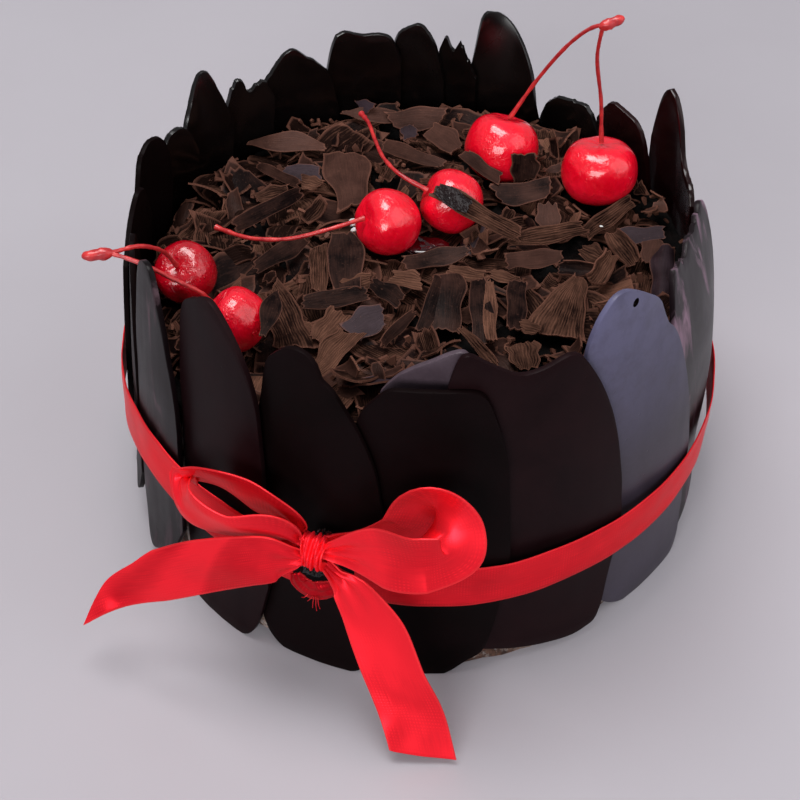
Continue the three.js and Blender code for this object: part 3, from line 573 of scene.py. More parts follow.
# start and end are the panel's edges, as angles. foot and top are its lower and upper outline, as
# heights at places from 0 at the left edge to 1 at the right. chips is how ragged its top is, curl
# how far its tip stands out, slant how many degrees it leans per millimetre, tuck how far its left
# edge lies under its neighbour and set how far in all of it stands.
plain_panel = dict(chips=0.0, curl=0.0, slant=0.0, tuck=panel["tuck"], set=0.0, finish=glossy_chocolate)
panels = {
    "front_left": dict(
        start=-33.4, end=-11, finish=front_chocolate,
        foot=[(0, 20), (0.1, 6), (0.21, 0), (0.7, 0), (0.86, 5), (1, 24)],
        top=[(0, 84), (0.04, 97), (0.12, 103), (0.27, 106.5), (0.44, 109.5), (0.53, 109), (0.64, 106.5),
             (0.74, 103), (0.84, 98), (0.93, 90.5), (0.975, 80), (1, 60)]),
    "front": dict(
        start=-14.5, end=10.3, finish=black_chocolate,
        foot=[(0, 12), (0.1, 4), (0.27, 0), (0.72, 0), (0.9, 6), (1, 30)],
        top=[(0, 76), (0.09, 88), (0.14, 99), (0.22, 103.5), (0.34, 107), (0.47, 107.3), (0.54, 105),
             (0.58, 101.2), (0.65, 99.2), (0.74, 94), (0.83, 88), (0.91, 80.5), (0.96, 72.5), (1, 60)]),
    "front_right": dict(
        start=4, end=31.8, finish=black_chocolate,
        foot=[(0, 14), (0.15, 2), (0.35, 0), (0.6, 0), (0.76, 5), (0.88, 10), (0.95, 24), (1, 42)],
        top=[(0, 82), (0.08, 92), (0.15, 96.2), (0.22, 99.4), (0.28, 100.7), (0.55, 101.4), (0.7, 101.6),
             (0.78, 100.6), (0.83, 97.2), (0.9, 87.8), (0.945, 78.7), (0.975, 65.8), (1, 46)]),
    "right_front": dict(
        start=20, end=54, finish=front_chocolate,
        foot=[(0, 9), (0.24, 6.5), (0.6, 3.2), (0.85, 3.2), (0.94, 9), (1, 34)],
        top=[(0, 98), (0.05, 108.4), (0.1, 110.8), (0.17, 109), (0.25, 106.3), (0.34, 104), (0.45, 104.5),
             (0.575, 106.9), (0.65, 105.7), (0.71, 101.3), (0.785, 93.9), (0.87, 82.5), (0.935, 68.5),
             (1, 47)]),
    "right": dict(
        start=46.3, end=74.3, slant=-0.12, hole=dict(place=0.53, z=111.9, radius=1.1),
        finish=bloom_and_sheen_chocolate,
        foot=[(0, 16), (0.1, 5), (0.3, 0), (0.75, 0), (0.93, 5), (1, 18)],
        top=[(0, 82), (0.15, 105), (0.23, 111.7), (0.29, 114.6), (0.36, 116.8), (0.44, 117.2), (0.56, 114.7),
             (0.69, 110.2), (0.8, 105), (0.84, 98), (0.92, 93), (0.96, 87.5), (1, 74)]),
    "right_side": dict(
        start=68.5, end=104, chips=0.9, finish=brushed_and_sheen_chocolate,
        foot=[(0, 22), (0.2, 4), (0.5, 0), (0.8, 2), (1, 18)],
        top=[(0, 76), (0.08, 90), (0.14, 99.5), (0.25, 99.3), (0.41, 96.3), (0.55, 97.4), (0.67, 96.5),
             (0.82, 98.2), (0.92, 97.5), (0.97, 93), (1, 78)]),
    "right_rear": dict(
        start=102, end=118.5, set=0.3, chips=0.7, finish=reddish_chocolate, foot=round_foot,
        top=[(0, 70), (0.2, 80), (0.5, 83), (0.8, 82), (1, 74)]),
    "rear_shard": dict(
        start=116, end=137.4, finish=reddish_chocolate, foot=round_foot, chips=0.3,
        top=[(0, 80), (0.1, 84), (0.3, 85), (0.42, 88), (0.52, 96.7), (0.66, 102.5), (0.8, 103.4),
             (0.91, 97.2), (1, 84)]),
    "rear_right": dict(
        start=134, end=152, finish=reddish_chocolate, foot=round_foot, chips=0.3,
        top=[(0, 66), (0.15, 79), (0.3, 85.5), (0.6, 88), (0.82, 87.5), (1, 80)]),
    "rear_low": dict(
        start=149.5, end=167, foot=ragged_foot, chips=0.4,
        top=[(0, 76), (0.22, 83.5), (0.5, 83), (0.75, 81), (0.9, 75), (1, 64)]),
    "rear_tall": dict(
        start=164, end=183.5, curl=6, foot=round_foot,
        top=[(0, 66), (0.12, 77), (0.17, 86), (0.31, 94), (0.44, 98.6), (0.6, 102.5), (0.73, 104),
             (0.85, 102.5), (0.92, 90), (1, 78)]),
    "rear_narrow": dict(
        start=180.5, end=191, foot=round_foot, chips=0.8,
        top=[(0, 84), (0.25, 92), (0.38, 96.5), (0.52, 93), (0.7, 97), (0.86, 91), (1, 82)]),
    "rear": dict(
        start=188, end=201, curl=2, foot=ragged_foot, chips=0.2,
        top=[(0, 82), (0.15, 94), (0.4, 100.5), (0.62, 100), (0.85, 97), (1, 88)]),
    "rear_left": dict(
        start=198, end=216, curl=2, foot=round_foot, chips=0.2,
        top=[(0, 90), (0.15, 98), (0.5, 98.5), (0.83, 100), (0.93, 94), (1, 80)]),
    "left_rear": dict(
        start=213, end=232.5, curl=3, foot=round_foot, chips=0.3,
        top=[(0, 74), (0.1, 86), (0.22, 91), (0.38, 94.5), (0.58, 98), (0.8, 94), (1, 88)]),
    "left_notched": dict(
        start=230, end=245, foot=ragged_foot, chips=0.8,
        top=[(0, 86), (0.2, 93), (0.48, 91), (0.58, 96), (0.74, 95), (0.85, 87), (1, 80)]),
    "left_curled": dict(
        start=242, end=257, curl=5, foot=round_foot, chips=0.2,
        top=[(0, 84), (0.12, 91.3), (0.2, 96.1), (0.29, 101.7), (0.42, 102.3), (0.56, 99.5), (0.75, 95),
             (0.9, 91), (1, 82)]),
    "left_low": dict(
        start=254, end=268, foot=round_foot, chips=0.4,
        top=[(0, 82), (0.3, 92.5), (0.7, 94.5), (1, 86)]),
    "left": dict(
        start=265, end=281, curl=2, finish=black_chocolate, foot=ragged_foot, chips=0.6,
        top=[(0, 82), (0.12, 94), (0.3, 99), (0.6, 98.5), (0.8, 95), (1, 78)]),
    "left_outer": dict(
        start=277, end=293, finish=black_chocolate, foot=ragged_foot, chips=0.5,
        top=[(0, 80), (0.3, 93), (0.65, 92), (1, 78)]),
    "left_front": dict(
        start=290, end=310.6, finish=black_chocolate, chips=0.4,
        foot=[(0, 14), (0.3, 9), (0.55, 14), (0.75, 10), (1, 24)],
        top=[(0, 78), (0.3, 92), (0.6, 96), (0.85, 90), (1, 68)]),
    "front_far_left": dict(
        start=311.3, end=328, tuck=0.4, finish=smeared_and_sheen_chocolate,
        foot=[(0, 20), (0.25, 4), (0.5, 6), (0.75, 11), (1, 24)],
        top=[(0, 80), (0.08, 96), (0.17, 101.7), (0.35, 104.5), (0.52, 103.7), (0.66, 98), (0.79, 90.5),
             (0.87, 82), (0.95, 73.5), (1, 60)]),
    "inner_piece": dict(
        start=9, end=27, set=5.4, finish=pale_chocolate,
        foot=[(0, 88), (0.25, 80), (0.6, 77), (1, 82)],
        top=[(0, 94), (0.08, 97), (0.24, 101.3), (0.49, 105.4), (0.68, 108.2), (0.82, 108.2), (0.93, 101.5),
             (1, 93)]),
}


def slant_at(shape, z):
    return shape["slant"] * (z - panel["slant_from"])


def panel_surface(shape):
    """The panel's outer face, as place(s, t). Its columns of points crowd at its edges."""
    start, end = shape["start"], shape["end"]
    foot, top = through(shape["foot"]), through(shape["top"])

    def place(s, t):
        u = s - panel["crowding"] * sin(2 * pi * s) / (2 * pi)
        low, high = max(panel["lowest"], foot(u)), top(u)
        torn = shape["chips"] * (ripple(7 + start, 24 * u) + 0.5 * ripple(start, 70 * u))
        high += (0.14 * ripple(start, 9 * u) + torn) * min(1, 6 * u, 6 * (1 - u))
        z = low + (high - low) * t
        angle = start + (end - start) * u + slant_at(shape, z)
        angle += 0.12 * ripple(start + 3, z / 9) * abs(2 * u - 1) ** 3
        tip = max(0, z - panel["curl_from"]) / panel["curl_span"]
        out = -shape["tuck"] * (1 - u) - shape["set"] + shape["curl"] * sin(pi * u) * tip ** 2
        out += 0.1 * ripple(angle / 9, z / 26, start) + 0.04 * ripple(angle / 2.5, z / 40, 5)
        return on_wall(angle, z, out)

    return place


def drill_through(piece, angle, z, radius):
    """Drills a round hole, whose side takes the piece's second finish."""
    middle, axis = on_wall(angle, z, -panel_depth / 2), Vector((*from_axis(1, angle), 0))
    deselect()
    bpy.ops.mesh.primitive_cylinder_add(vertices=24, radius=radius * MM, depth=3 * panel_depth * MM,
                                        location=middle * MM, rotation=(pi / 2, 0, radians(angle)))
    drill = named("drill")
    apply(piece, "BOOLEAN", operation="DIFFERENCE", object=drill, solver="EXACT")
    bpy.data.objects.remove(drill)
    for face in piece.data.polygons:
        beside = face.center / MM - middle
        beside -= axis * beside.dot(axis)
        if beside.length < 1.1 * radius and abs(face.normal.dot(axis)) < 0.5:
            face.material_index = 1


for name, shape in panels.items():
    shape = plain_panel | shape
    piece = sheet_piece("chocolate_panel_" + name, 44, 30, panel_surface(shape))
    thicken(piece, panel["thickness"])
    round_edges(piece, panel["bevel"])
    if "hole" in shape:
        hole = shape["hole"]
        angle = mix(shape["start"], shape["end"], hole["place"]) + slant_at(shape, hole["z"])
        drill_through(piece, angle, hole["z"], hole["radius"])
    smooth(piece, 35)
    belongs(piece, ["panel_" + name], "dark_chocolate", shape["finish"], black_chocolate)

# ---- sponge and cream


def foot_share(angle):
    place = (angle - core["foot_from"]) / (core["foot_to"] - core["foot_from"])
    return sin(pi * place) if 0 < place < 1 else 0


def core_point(angle, share):
    rise = min(max((share - core["side_from"]) / (core["side_to"] - core["side_from"]), 0), 1)
    z = core["height"] * rise
    wave = sin(radians(7 * angle)) + sin(radians(11 * angle + 40))
    out = -panel_depth - gap - core["unevenness"] * (1 + wave / 2)
    foot = exp(-((z / core["foot_height"]) ** 2)) * foot_share(angle)
    out += core["foot_bulge"] * foot * (0.9 + 0.25 * ripple(angle / 2, 3))
    out += 0.35 * ripple(angle / 4, z / 7) + 0.2 * ripple(angle / 1.5, z / 3, 4) - 0.35
    if share < core["side_from"]:
        return on_wall(angle, 0, out) * (share / core["side_from"])
    if share > core["side_to"]:
        outward = (1 - share) / (1 - core["side_to"])
        rim = on_wall(angle, core["height"], out)
        return Vector((rim.x * outward, rim.y * outward, core["height"] - core["crown"] * outward))
    return on_wall(angle, z, out)


cream_side = ball_piece("cream_and_sponge", 200, 60, core_point)
smooth(cream_side, 60)
belongs(cream_side, ["cake_core"], "sponge_and_cream", cream_and_sponge)

# ---- cherries and stalks

cherries = {
    # The left cherry takes the darker skin, a painted shade.
    "left": dict(centre=(-54.6, -29.2, 79), diameter=16.5, axis=(-0.05, -0.57, 0.82), height=0.95,
                 skin=painted_shade_cherry_skin),
    "left_front": dict(centre=(-35, -44, 80), diameter=16.5, axis=(-0.75, -0.1, 0.65), height=0.96),
    "middle": dict(centre=(-8.2, 3, 81.5), diameter=18, axis=(-0.69, -0.57, 0.45), height=0.98),
    "middle_right": dict(centre=(6.3, 16.2, 82), diameter=17.5, axis=(-0.82, -0.25, 0.5), height=0.98),
    "rear_right": dict(centre=(13.9, 47, 80.5), diameter=21.5, axis=(0.12, 0.42, 0.9), height=0.96),
    "right": dict(centre=(43.2, 44, 80.5), diameter=22, axis=(-0.07, 0.2, 0.97), height=0.88),
}
cherry_shape = dict(dimple=0.2, reach=0.5, squareness=2.3)


def cherry_profile(angle):
    """The fruit's radius, as a share of its half-width, at an angle from its stem."""
    power = cherry_shape["squareness"]
    block = abs(sin(angle)) ** power + abs(cos(angle)) ** power
    dimple = cherry_shape["dimple"] * exp(-((angle / cherry_shape["reach"]) ** 2))
    return block ** (-1 / power) * (1 - dimple)


def dimple_of(cherry):
    depth = cherry["diameter"] / 2 * cherry["height"] * cherry_profile(0) + 2 * gap
    return Vector(cherry["centre"]) + Vector(cherry["axis"]).normalized() * depth


def cherry_piece(name, cherry):
    half, turn = cherry["diameter"] / 2, turn_towards(cherry["axis"])
    seed = half * 3.1 + cherry["centre"][0]

    def place(way, down, around):
        way = Vector((-way.y, way.x, way.z))
        crease = 0.016 * sin(7 * around + seed) * exp(-((down / 0.75) ** 2)) * sin(down)
        lump = 0.022 * ripple(1.3 * way.x + seed, 1.3 * way.y, 1.3 * way.z)
        seam = 0.02 * exp(-((around - 2.2) / 0.25) ** 2) * sin(down)
        way.z *= cherry["height"]
        return turn @ (half * (cherry_profile(down) + crease + lump - seam) * way) + Vector(cherry["centre"])

    piece = lump_piece("maraschino_" + name, 64, 48, place)
    belongs(piece, ["cherry_" + name], "cherry", cherry.get("skin", cherry_skin))


for name, cherry in cherries.items():
    cherry_piece(name, cherry)

# Each run starts in its cherry's dimple and goes through these points.
stalks = {
    "left_pair": dict(
        knuckle=((-63, -49, 99.6), (-70, -53, 99.8)),
        runs=[("left", [(-55.8, -38.5, 93.5), (-59, -44, 98.5), (-63.5, -49.4, 99.7)]),
              ("left_front", [(-42.5, -47, 90), (-48.5, -48.5, 94), (-56, -49, 97.5), (-64, -49.6, 99.7)])]),
    "middle": dict(
        runs=[("middle", [(-21, -7.5, 84.5), (-31.5, -11, 81.5), (-43, -11.5, 79.5), (-54, -8.5, 78.5)])]),
    "middle_right": dict(
        runs=[("middle_right", [(-8, 15.5, 88.5), (-14.5, 22, 88), (-20.5, 33, 86), (-25.5, 43, 84.5),
                                (-29, 47.5, 84)])]),
    "right_pair": dict(
        knuckle=((38.5, 41, 127), (44.5, 44.5, 129)),
        runs=[("rear_right", [(21.5, 52.5, 101), (29.5, 50, 115), (36, 44.5, 124.5), (40, 42, 127.9)]),
              ("right", [(41, 46.8, 101), (38.6, 45, 116), (39.4, 42, 127.4)])]),
}


def smooth_path(points):
    """A centripetal curve through points, as a function of a share from 0 to 1."""
    points = [Vector(p) for p in points]
    last = len(points) - 1

    def at(share):
        place = min(max(share, 0), 1) * last
        i = min(int(place), last - 1)
        t = place - i
        p1, p2 = points[i], points[i + 1]
        p0 = points[i - 1] if i > 0 else 2 * points[0] - points[1]
        p3 = points[i + 2] if i + 2 <= last else 2 * points[last] - points[last - 1]
        d0, d1, d2 = (max((b - a).length_squared, 1e-9) ** 0.25 for a, b in ((p0, p1), (p1, p2), (p2, p3)))
        m1 = ((p1 - p0) / d0 - (p2 - p0) / (d0 + d1) + (p2 - p1) / d1) * d1
        m2 = ((p2 - p1) / d1 - (p3 - p1) / (d1 + d2) + (p3 - p2) / d2) * d1
        return (p1 + m1 * t + (-3 * p1 + 3 * p2 - 2 * m1 - m2) * t * t
                + (2 * p1 - 2 * p2 + m1 + m2) * t ** 3)

    return at


def stalk_run(points, steps=40, swell=None, radius=stem_radius):
    """A tube along a smooth path, a little knobbly, wider at the fruit and at its end."""
    path = smooth_path(points)
    deselect()
    bpy.ops.curve.primitive_nurbs_path_add()
    piece = bpy.context.object
    curve = piece.data
    curve.splines.clear()
    spline = curve.splines.new("POLY")
    spline.points.add(steps)
    for i, point in enumerate(spline.points):
        share = i / steps
        point.co = (*(path(share) * MM), 1)
        knobs = 0.12 * ripple(points[0][0], 16 * share) + 0.3 * exp(-share * 16)
        end = 0.0 if swell is None else swell * (exp(-((1 - share) / 0.03) ** 2)
                                                 + 0.7 * exp(-((0.91 - share) / 0.03) ** 2))
        point.radius = 0.7 + knobs + end
    curve.dimensions = "3D"
    curve.bevel_depth = radius * MM
    curve.bevel_resolution = 3
    curve.use_fill_caps = True
    only(piece)
    bpy.ops.object.convert(target="MESH")
    return bpy.context.object


def knuckle_piece(start, end):
    start, end = Vector(start), Vector(end)
    turn, half = turn_towards(end - start), (end - start).length / 2

    def place(way, _, around):
        way = Vector((-way.y, way.x, way.z))
        lump = 1 + 0.18 * ripple(2 * cos(around), 2 * sin(around), 3 * way.z + start.x)
        reach = knuckle_radius * lump * (1 - 0.25 * exp(-((way.z - 0.15) / 0.3) ** 2))
        return turn @ Vector((reach * way.x, reach * way.y, half * way.z)) + (start + end) / 2

    return lump_piece("knuckle", 20, 16, place)


for name, stalk in stalks.items():
    loose = "knuckle" not in stalk
    parts = [stalk_run([dimple_of(cherries[fruit]), *route], swell=0.5 if loose else None)
             for fruit, route in stalk["runs"]]
    if not loose:
        parts.append(knuckle_piece(*stalk["knuckle"]))
    piece = joined(parts, "stalk_" + name)
    smooth(piece, 60)
    belongs(piece, ["stem_" + name], "cherry_stem", cherry_stalk)

# ---- the heap of shavings

dice = random.Random(11)


def bed_point(angle, share):
    """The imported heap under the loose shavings: a flat floor, a short side and a rough top."""
    reach = wall_radius(angle, heap["rim"]) - panel_depth - gap
    if share < bed["side_to"]:
        x, y = from_axis(reach * min(1, share / bed["floor_to"]), angle)
        rise = (share - bed["side_from"]) / (bed["side_to"] - bed["side_from"])
        return Vector((x, y, mix(heap["floor"], heap_height(x, y) - heap["bed_depth"], max(rise, 0))))
    x, y = from_axis(reach * (1 - share) / (1 - bed["side_to"]), angle)
    rough = 1.1 * ripple(x / 4, y / 4) + 0.6 * ripple(x / 1.6, y / 1.6, 7)
    z = max(heap_height(x, y) - heap["bed_depth"] + rough, heap["floor"] + heap["bed_lift"])
    return Vector((x, y, z))


bed = dict(floor_to=0.25, side_from=0.27, side_to=0.3)
packed = ball_piece("shavings_bed", 150, 90, bed_point)
smooth(packed, 80)
belongs(packed, ["shavings"], "shaved_chocolate", packed_shavings_painted_shade)


def flake_piece(name, length, width, curl, cup=0.0, twist=0.0, ragged=0.8, seed=0, columns=8, rows=5,
                thickness=0.5, taper=0.0, ends=None):
    """One shaving lying along X on the origin. curl bends it along its length, in radians, and ends
    are how much its two ends narrow."""
    blunt = 0.2 + 0.2 * ripple(seed, 2.5)
    first, last = ends or (blunt, 0.4 - blunt)
    skew = 0.5 * ripple(seed, 7.5)

    def place(s, t):
        x = (s - 0.5) * length
        x += ragged * ripple(5 * t, seed + (8 if s > 0.5 else 0)) * abs(2 * s - 1) ** 2
        x += skew * (t - 0.5) * width * (2 * s - 1) ** 3
        narrowed = 1 - first * exp(-((s / 0.25) ** 2)) - last * exp(-(((1 - s) / 0.25) ** 2))
        side = (t - 0.5) * width * (narrowed + 0.3 * ripple(2.4 * s, seed, 2 * (t > 0.5)) + taper * (s - 0.5))
        rise = lift = cup * (2 * t - 1) ** 2
        if abs(curl) > 0.01:
            radius = length / curl
            x, rise = (radius - lift) * sin(x / radius), radius - (radius - lift) * cos(x / radius)
        turn = twist * (s - 0.5)
        return Vector((x, side * cos(turn) - rise * sin(turn),
                       side * sin(turn) + rise * cos(turn)))

    piece = sheet_piece(name, columns, rows, place, length, width)
    rim = np.zeros((rows + 1, columns + 1))
    rim[0] = rim[-1] = rim[:, 0] = rim[:, -1] = 1
    point_values(piece.data, "rim", rim)
    for finish in dark_sides:
        piece.data.materials.append(finish)
    thicken(piece, thickness, offset=0, rim=1, back=1)
    return piece


def masters(kind, count, **limits):
    made = []
    for k in range(count):
        chosen = {key: dice.uniform(*value) if isinstance(value, tuple) else value
                  for key, value in limits.items()}
        made.append(flake_piece(f"{kind}_{k}", seed=k * 3.7 + len(kind), **chosen))
    return made


def points_of(piece):
    flat = np.zeros(len(piece.data.vertices) * 3, np.float32)
    piece.data.vertices.foreach_get("co", flat)
    return flat.reshape(-1, 3).astype(float) / MM


stalk_paths = [smooth_path([dimple_of(cherries[fruit]), *route])
               for stalk in stalks.values() for fruit, route in stalk["runs"]]
stalk_dots = np.array([list(path(k / 30)) for path in stalk_paths for k in range(31)])
cherry_centres = np.array([cherry["centre"] for cherry in cherries.values()])
cherry_reach = np.array([cherry["diameter"] / 2 for cherry in cherries.values()])
room = dict(cherry=0.15, stalk=stem_radius + 0.7, panel=panel_depth + 0.5, panel_from=62)
inner_piece = dict(start=7, end=29, above=76, room=10.4)


def clear(points):
    """Whether points keep out of the cherries, the stalks and the wall of panels."""
    away = np.linalg.norm(points[:, None] - cherry_centres[None], axis=2) - cherry_reach
    if away.min() < room["cherry"]:
        return False
    if np.linalg.norm(points[:, None] - stalk_dots[None], axis=2).min() < room["stalk"]:
        return False
    angles = np.degrees(np.arctan2(points[:, 0], -points[:, 1])) % 360
    for angle, out, z in zip(angles, np.hypot(points[:, 0], points[:, 1]), points[:, 2]):
        behind = inner_piece["start"] < angle < inner_piece["end"] and z > inner_piece["above"]
        kept = inner_piece["room"] if behind else room["panel"]
        if out > wall_radius(angle, max(z, room["panel_from"])) - kept:
            return False
    return True


def lay(master, matrix, tone):
    """A copy of master put down by matrix, in millimetres."""
    mesh = master.data.copy()
    mesh.transform(Matrix.Translation(matrix.translation * MM) @ matrix.to_3x3().to_4x4())
    point_values(mesh, "tone", np.full(len(mesh.vertices), tone))
    piece = bpy.data.objects.new("laid", mesh)
    scene.collection.objects.link(piece)
    return piece


def turned(heading, tilt, roll, flip, place, scale):
    return (Matrix.Translation(place) @ Matrix.Rotation(heading, 4, "Z") @ Matrix.Rotation(tilt, 4, "Y")
            @ Matrix.Rotation(roll + (pi if flip else 0), 4, "X") @ Matrix.Diagonal((*scale, 1)))


# Shavings listed one by one: two ends, width, how far it faces the front from lying flat, in degrees,
# which of sides it is and how light. curl and cup bend it up along and across, taper widens it
# towards its end, and ends are how much its two ends narrow.
placed = [
    ((3.5, 8.5, 91), (27.4, 11, 78.5), 5.5, 45, 1, 0.5, dict(curl=-0.25)),
    ((3.7, 8.3, 91.5), (13, 9, 86.8), 4.4, 45, 3, 0.5, dict(curl=-0.1)),
    ((24.1, 12.2, 75), (43.3, 22.7, 76), 5, 52, 1, 0.5, dict(curl=0.5)),
    ((4.7, 37.5, 83.5), (16.3, 34.4, 78.7), 4, 45, 0, 0.6),
    ((22, 39.6, 85), (23.3, 38.4, 77), 8.5, 60, 0, 0.1, dict(cup=0.6)),
    ((16.1, 29.6, 76.5), (30.2, 36, 77), 7.5, 25, 0, 0.35),
    ((31.8, 27.3, 78.4), (33.8, 21.3, 74.7), 6.5, 55, 0, 0.95),
    ((43.7, 22.1, 74), (53.9, 37.9, 76.5), 5, 60, 1, 0.3),
    ((53.1, 26, 72.4), (64.9, 31.2, 72), 5.5, 25, 2, 0.4),
    ((50.6, 24.7, 74), (58.7, 16.8, 71), 5.5, 40, 1, 0.4, dict(cup=1.2)),
    ((62.4, 29.2, 71.5), (62.8, 20.5, 69.6), 6.5, 30, 0, 1),
    ((66.2, 27, 71.5), (68, 5, 71.5), 6.5, 35, 2, 0.1, dict(cup=-2.2)),
    ((45.5, 1, 76.5), (43.8, -20.3, 73.5), 12, 22, 1, 0.5, dict(taper=0.8, curl=-0.2)),
    ((52.5, 11.5, 76.5), (49.5, 0, 74.5), 5.5, 30, 1, 0.6, dict(cup=1.6, curl=0.8)),
    ((34.5, -20.7, 75), (39.4, -21.4, 75), 3.6, 30, 1, 0.7),
    ((23.1, -8.4, 76), (28.8, -29.4, 75), 3.2, 70, 1, 1, dict(curl=0.3)),
    ((30.5, -4.2, 75.4), (33.1, -22.7, 74.8), 5.5, 65, 0, 0.1),
    ((19.7, -6.8, 76.4), (26.7, -29.3, 74.5), 6, 60, 0, 0.15, dict(curl=-0.3)),
    ((11.7, -6.7, 77), (21.4, -5.5, 75.8), 4, 40, 1, 0.8),
    ((22.4, -3.7, 76), (31, -3.8, 75), 3.2, 40, 1, 0.7),
    ((11.4, -8, 77.5), (15.7, -25.6, 73.4), 9.5, 18, 0, 0.2, dict(curl=-0.4, cup=-0.6)),
    ((35.7, -27.7, 75.6), (38.7, -35, 74), 8, 30, 1, 0.4, dict(curl=-0.5)),
    ((20.3, -26.1, 74.8), (32.3, -36.6, 74), 2.6, 60, 1, 0.5, dict(curl=0.6)),
    ((24.7, 3.6, 74.5), (39.2, 10.4, 74.5), 5, 45, 0, 0.9, dict(curl=0.7)),
    ((39.4, 6.7, 73.5), (49.1, 8, 73.3), 4.5, 40, 0, 0.2, dict(cup=1)),
    ((44.3, 15.7, 74), (51.1, 14.1, 73), 5, 40, 1, 0.2),
    ((-1, -7.5, 76.6), (14.8, 2, 76.8), 5, 25, 0, 0.35, dict(curl=0.5)),
    ((-64.5, 41.5, 72.6), (-40.7, 44.5, 74.3), 6.5, 30, 0, 1, dict(curl=-0.5, ends=(0.85, 0.6))),
    ((-38.3, 59, 75), (-22, 61, 75.4), 5, 40, 0, 0.9, dict(curl=0.4, ends=(0.7, 0.1))),
    ((-24, 59.5, 75.4), (-8, 63.5, 75.6), 7, 40, 0, 0.8, dict(curl=0.3)),
    ((-35, 63, 76.5), (-30, 60, 77), 5, 60, 2, 0.5, dict(ends=(0.8, 0.1))),
    ((-17, 55, 77), (-14, 49, 77), 4.5, 40, 2, 0.1),
    ((-9.9, 57, 76.3), (0.6, 48.2, 76.8), 7, 35, 0, 1),
    ((-22.8, 48, 74.4), (-2, 38.3, 77.5), 4.5, 40, 0, 0.9, dict(curl=-0.4)),
    ((-31.3, 37.9, 76.2), (-21.5, 13, 76.8), 12, 25, 0, 0.9, dict(taper=-0.3, cup=-0.8)),
    ((-50.2, -3.7, 76.6), (-37.1, 17, 76.6), 4.5, 62, 0, 0.1, dict(curl=-0.6)),
    ((-39.3, -17.2, 74.8), (-29.8, -2.6, 75.8), 5, 55, 0, 0.25, dict(curl=-0.5)),
    ((-24.9, -6.8, 77), (-19.8, -22.8, 75.2), 5.5, 45, 1, 0.5),
    ((-20.5, 1.1, 77), (-13.7, -19.1, 75), 9, 32, 0, 0.2, dict(taper=-0.2)),
    ((-2.8, -12.7, 76.2), (5.7, -12.2, 75.8), 5, 35, 1, 0.8),
    ((-7, -16.4, 76.3), (2.1, -19.1, 73.8), 5, 45, 0, 0.1, dict(curl=0.6)),
    ((-8, -34.1, 73.7), (-0.9, -26.1, 74.4), 8, 30, 2, 0.6),
    ((10.5, -9.7, 77.5), (10, -27.2, 73.5), 4.5, 62, 0, 0.15, dict(curl=-0.5)),
    ((-31.6, -26.6, 76.4), (-20.2, -41.2, 71.6), 9.5, 30, 1, 0.25, dict(taper=0.3)),
    ((-15.2, -39.8, 74), (-11.7, -29.3, 75.8), 6.5, 35, 1, 0.8),
    ((-12.6, -48, 72), (-7, -34.9, 74.9), 8.5, 35, 1, 0.8, dict(taper=0.3)),
    ((-22.3, -28.7, 75.6), (-7.2, -20.4, 75.6), 5, 35, 0, 0.2),
    ((0.8, -37.7, 74.2), (5.8, -23.6, 74.6), 3, 65, 0, 0.4, dict(curl=0.8)),
    ((-47.8, 28.1, 73.3), (-35.4, 26.4, 75.4), 5.5, 25, 2, 0.5),
    ((-55.9, 29.6, 72.5), (-40.1, 21.2, 74.6), 3, 50, 0, 0.4),
    ((-39.8, 22.8, 75), (-33.4, 20.3, 76.2), 4.5, 35, 1, 0.5),
    ((-49.3, 11.6, 74.8), (-42.1, 16, 75.2), 6, 35, 1, 0.3),
    ((-13.4, -20.1, 76.3), (-8, -15.8, 76.5), 4.5, 45, 1, 0.8),
    ((-26.8, -49.5, 81.8), (-28.8, -33, 82.5), 5.5, 60, 0, 0.15, dict(curl=-0.4, ends=(0.7, 0.9))),
]
front_way = Vector((0.245, -0.97, 0))
sides = (("shavings_smooth_side", dark_sides), ("shavings_rough_side", dark_sides),
         ("shavings_pale_side", pale_sides), ("shaving_wet_end", (wet_chocolate, wet_chocolate)))
rough_side = 1


def placed_flake(k, start, end, width, facing, side, tone, curl=0.0, cup=0.0, taper=0.0, ends=None):
    """One shaving between two places, lifted until it clears the cherries, stalks and panels."""
    start, end = Vector(start), Vector(end)
    length = (end - start).length
    over = -1 if side == rough_side else 1
    model = flake_piece("model", length, width, over * curl, over * cup, 0.15 * ripple(k, 1), 0.9, k * 2.3,
                        columns=14, rows=8, taper=taper, ends=ends)
    lean = radians(facing)
    along = (end - start) / length
    up = Vector((0, 0, 1)) * cos(lean) + front_way * sin(lean)
    up = (up - along * up.dot(along)).normalized() * over
    frame_of = Matrix((along, up.cross(along), up)).transposed()
    outline = points_of(model) @ np.array(frame_of).T
    middle = (start + end) / 2
    for _ in range(12):
        if clear(outline + np.array(middle)):
            break
        middle += Vector((0, 0, 0.25)) + 0.4 * front_way - 0.004 * Vector((middle.x, middle.y, 0))
    piece = lay(model, Matrix.Translation(middle) @ frame_of.to_4x4(), tone)
    bpy.data.objects.remove(model)
    return piece, outline + np.array(middle)


pool = (3.4, 1.6, 76.4)
hand_laid = [[] for _ in sides]
kept_clear = [np.array([(pool[0] + x, pool[1] + y, pool[2])
                        for x in range(-6, 8, 2) for y in (-3, -1, 1, 3)])]
for k, (start, end, width, facing, side, tone, *bends) in enumerate(placed):
    piece, dots = placed_flake(k, start, end, width, facing, side, tone, **dict(*bends))
    hand_laid[side].append(piece)
    kept_clear.append(dots)
kept_clear = np.concatenate(kept_clear)
for laid, (name, finishes) in zip(hand_laid, sides):
    piece = joined(laid, name)
    smooth(piece, 50)
    belongs(piece, ["shavings"], "shaved_chocolate", *finishes)

cover = dict(reach=2.2, depth=0.9)
golden_angle, tries = radians(137.508), 6
# Shavings left of the middle get a painted shade, for the shadow of the left panels.
dark_side = dict(left_of=-38, tone=0.35)


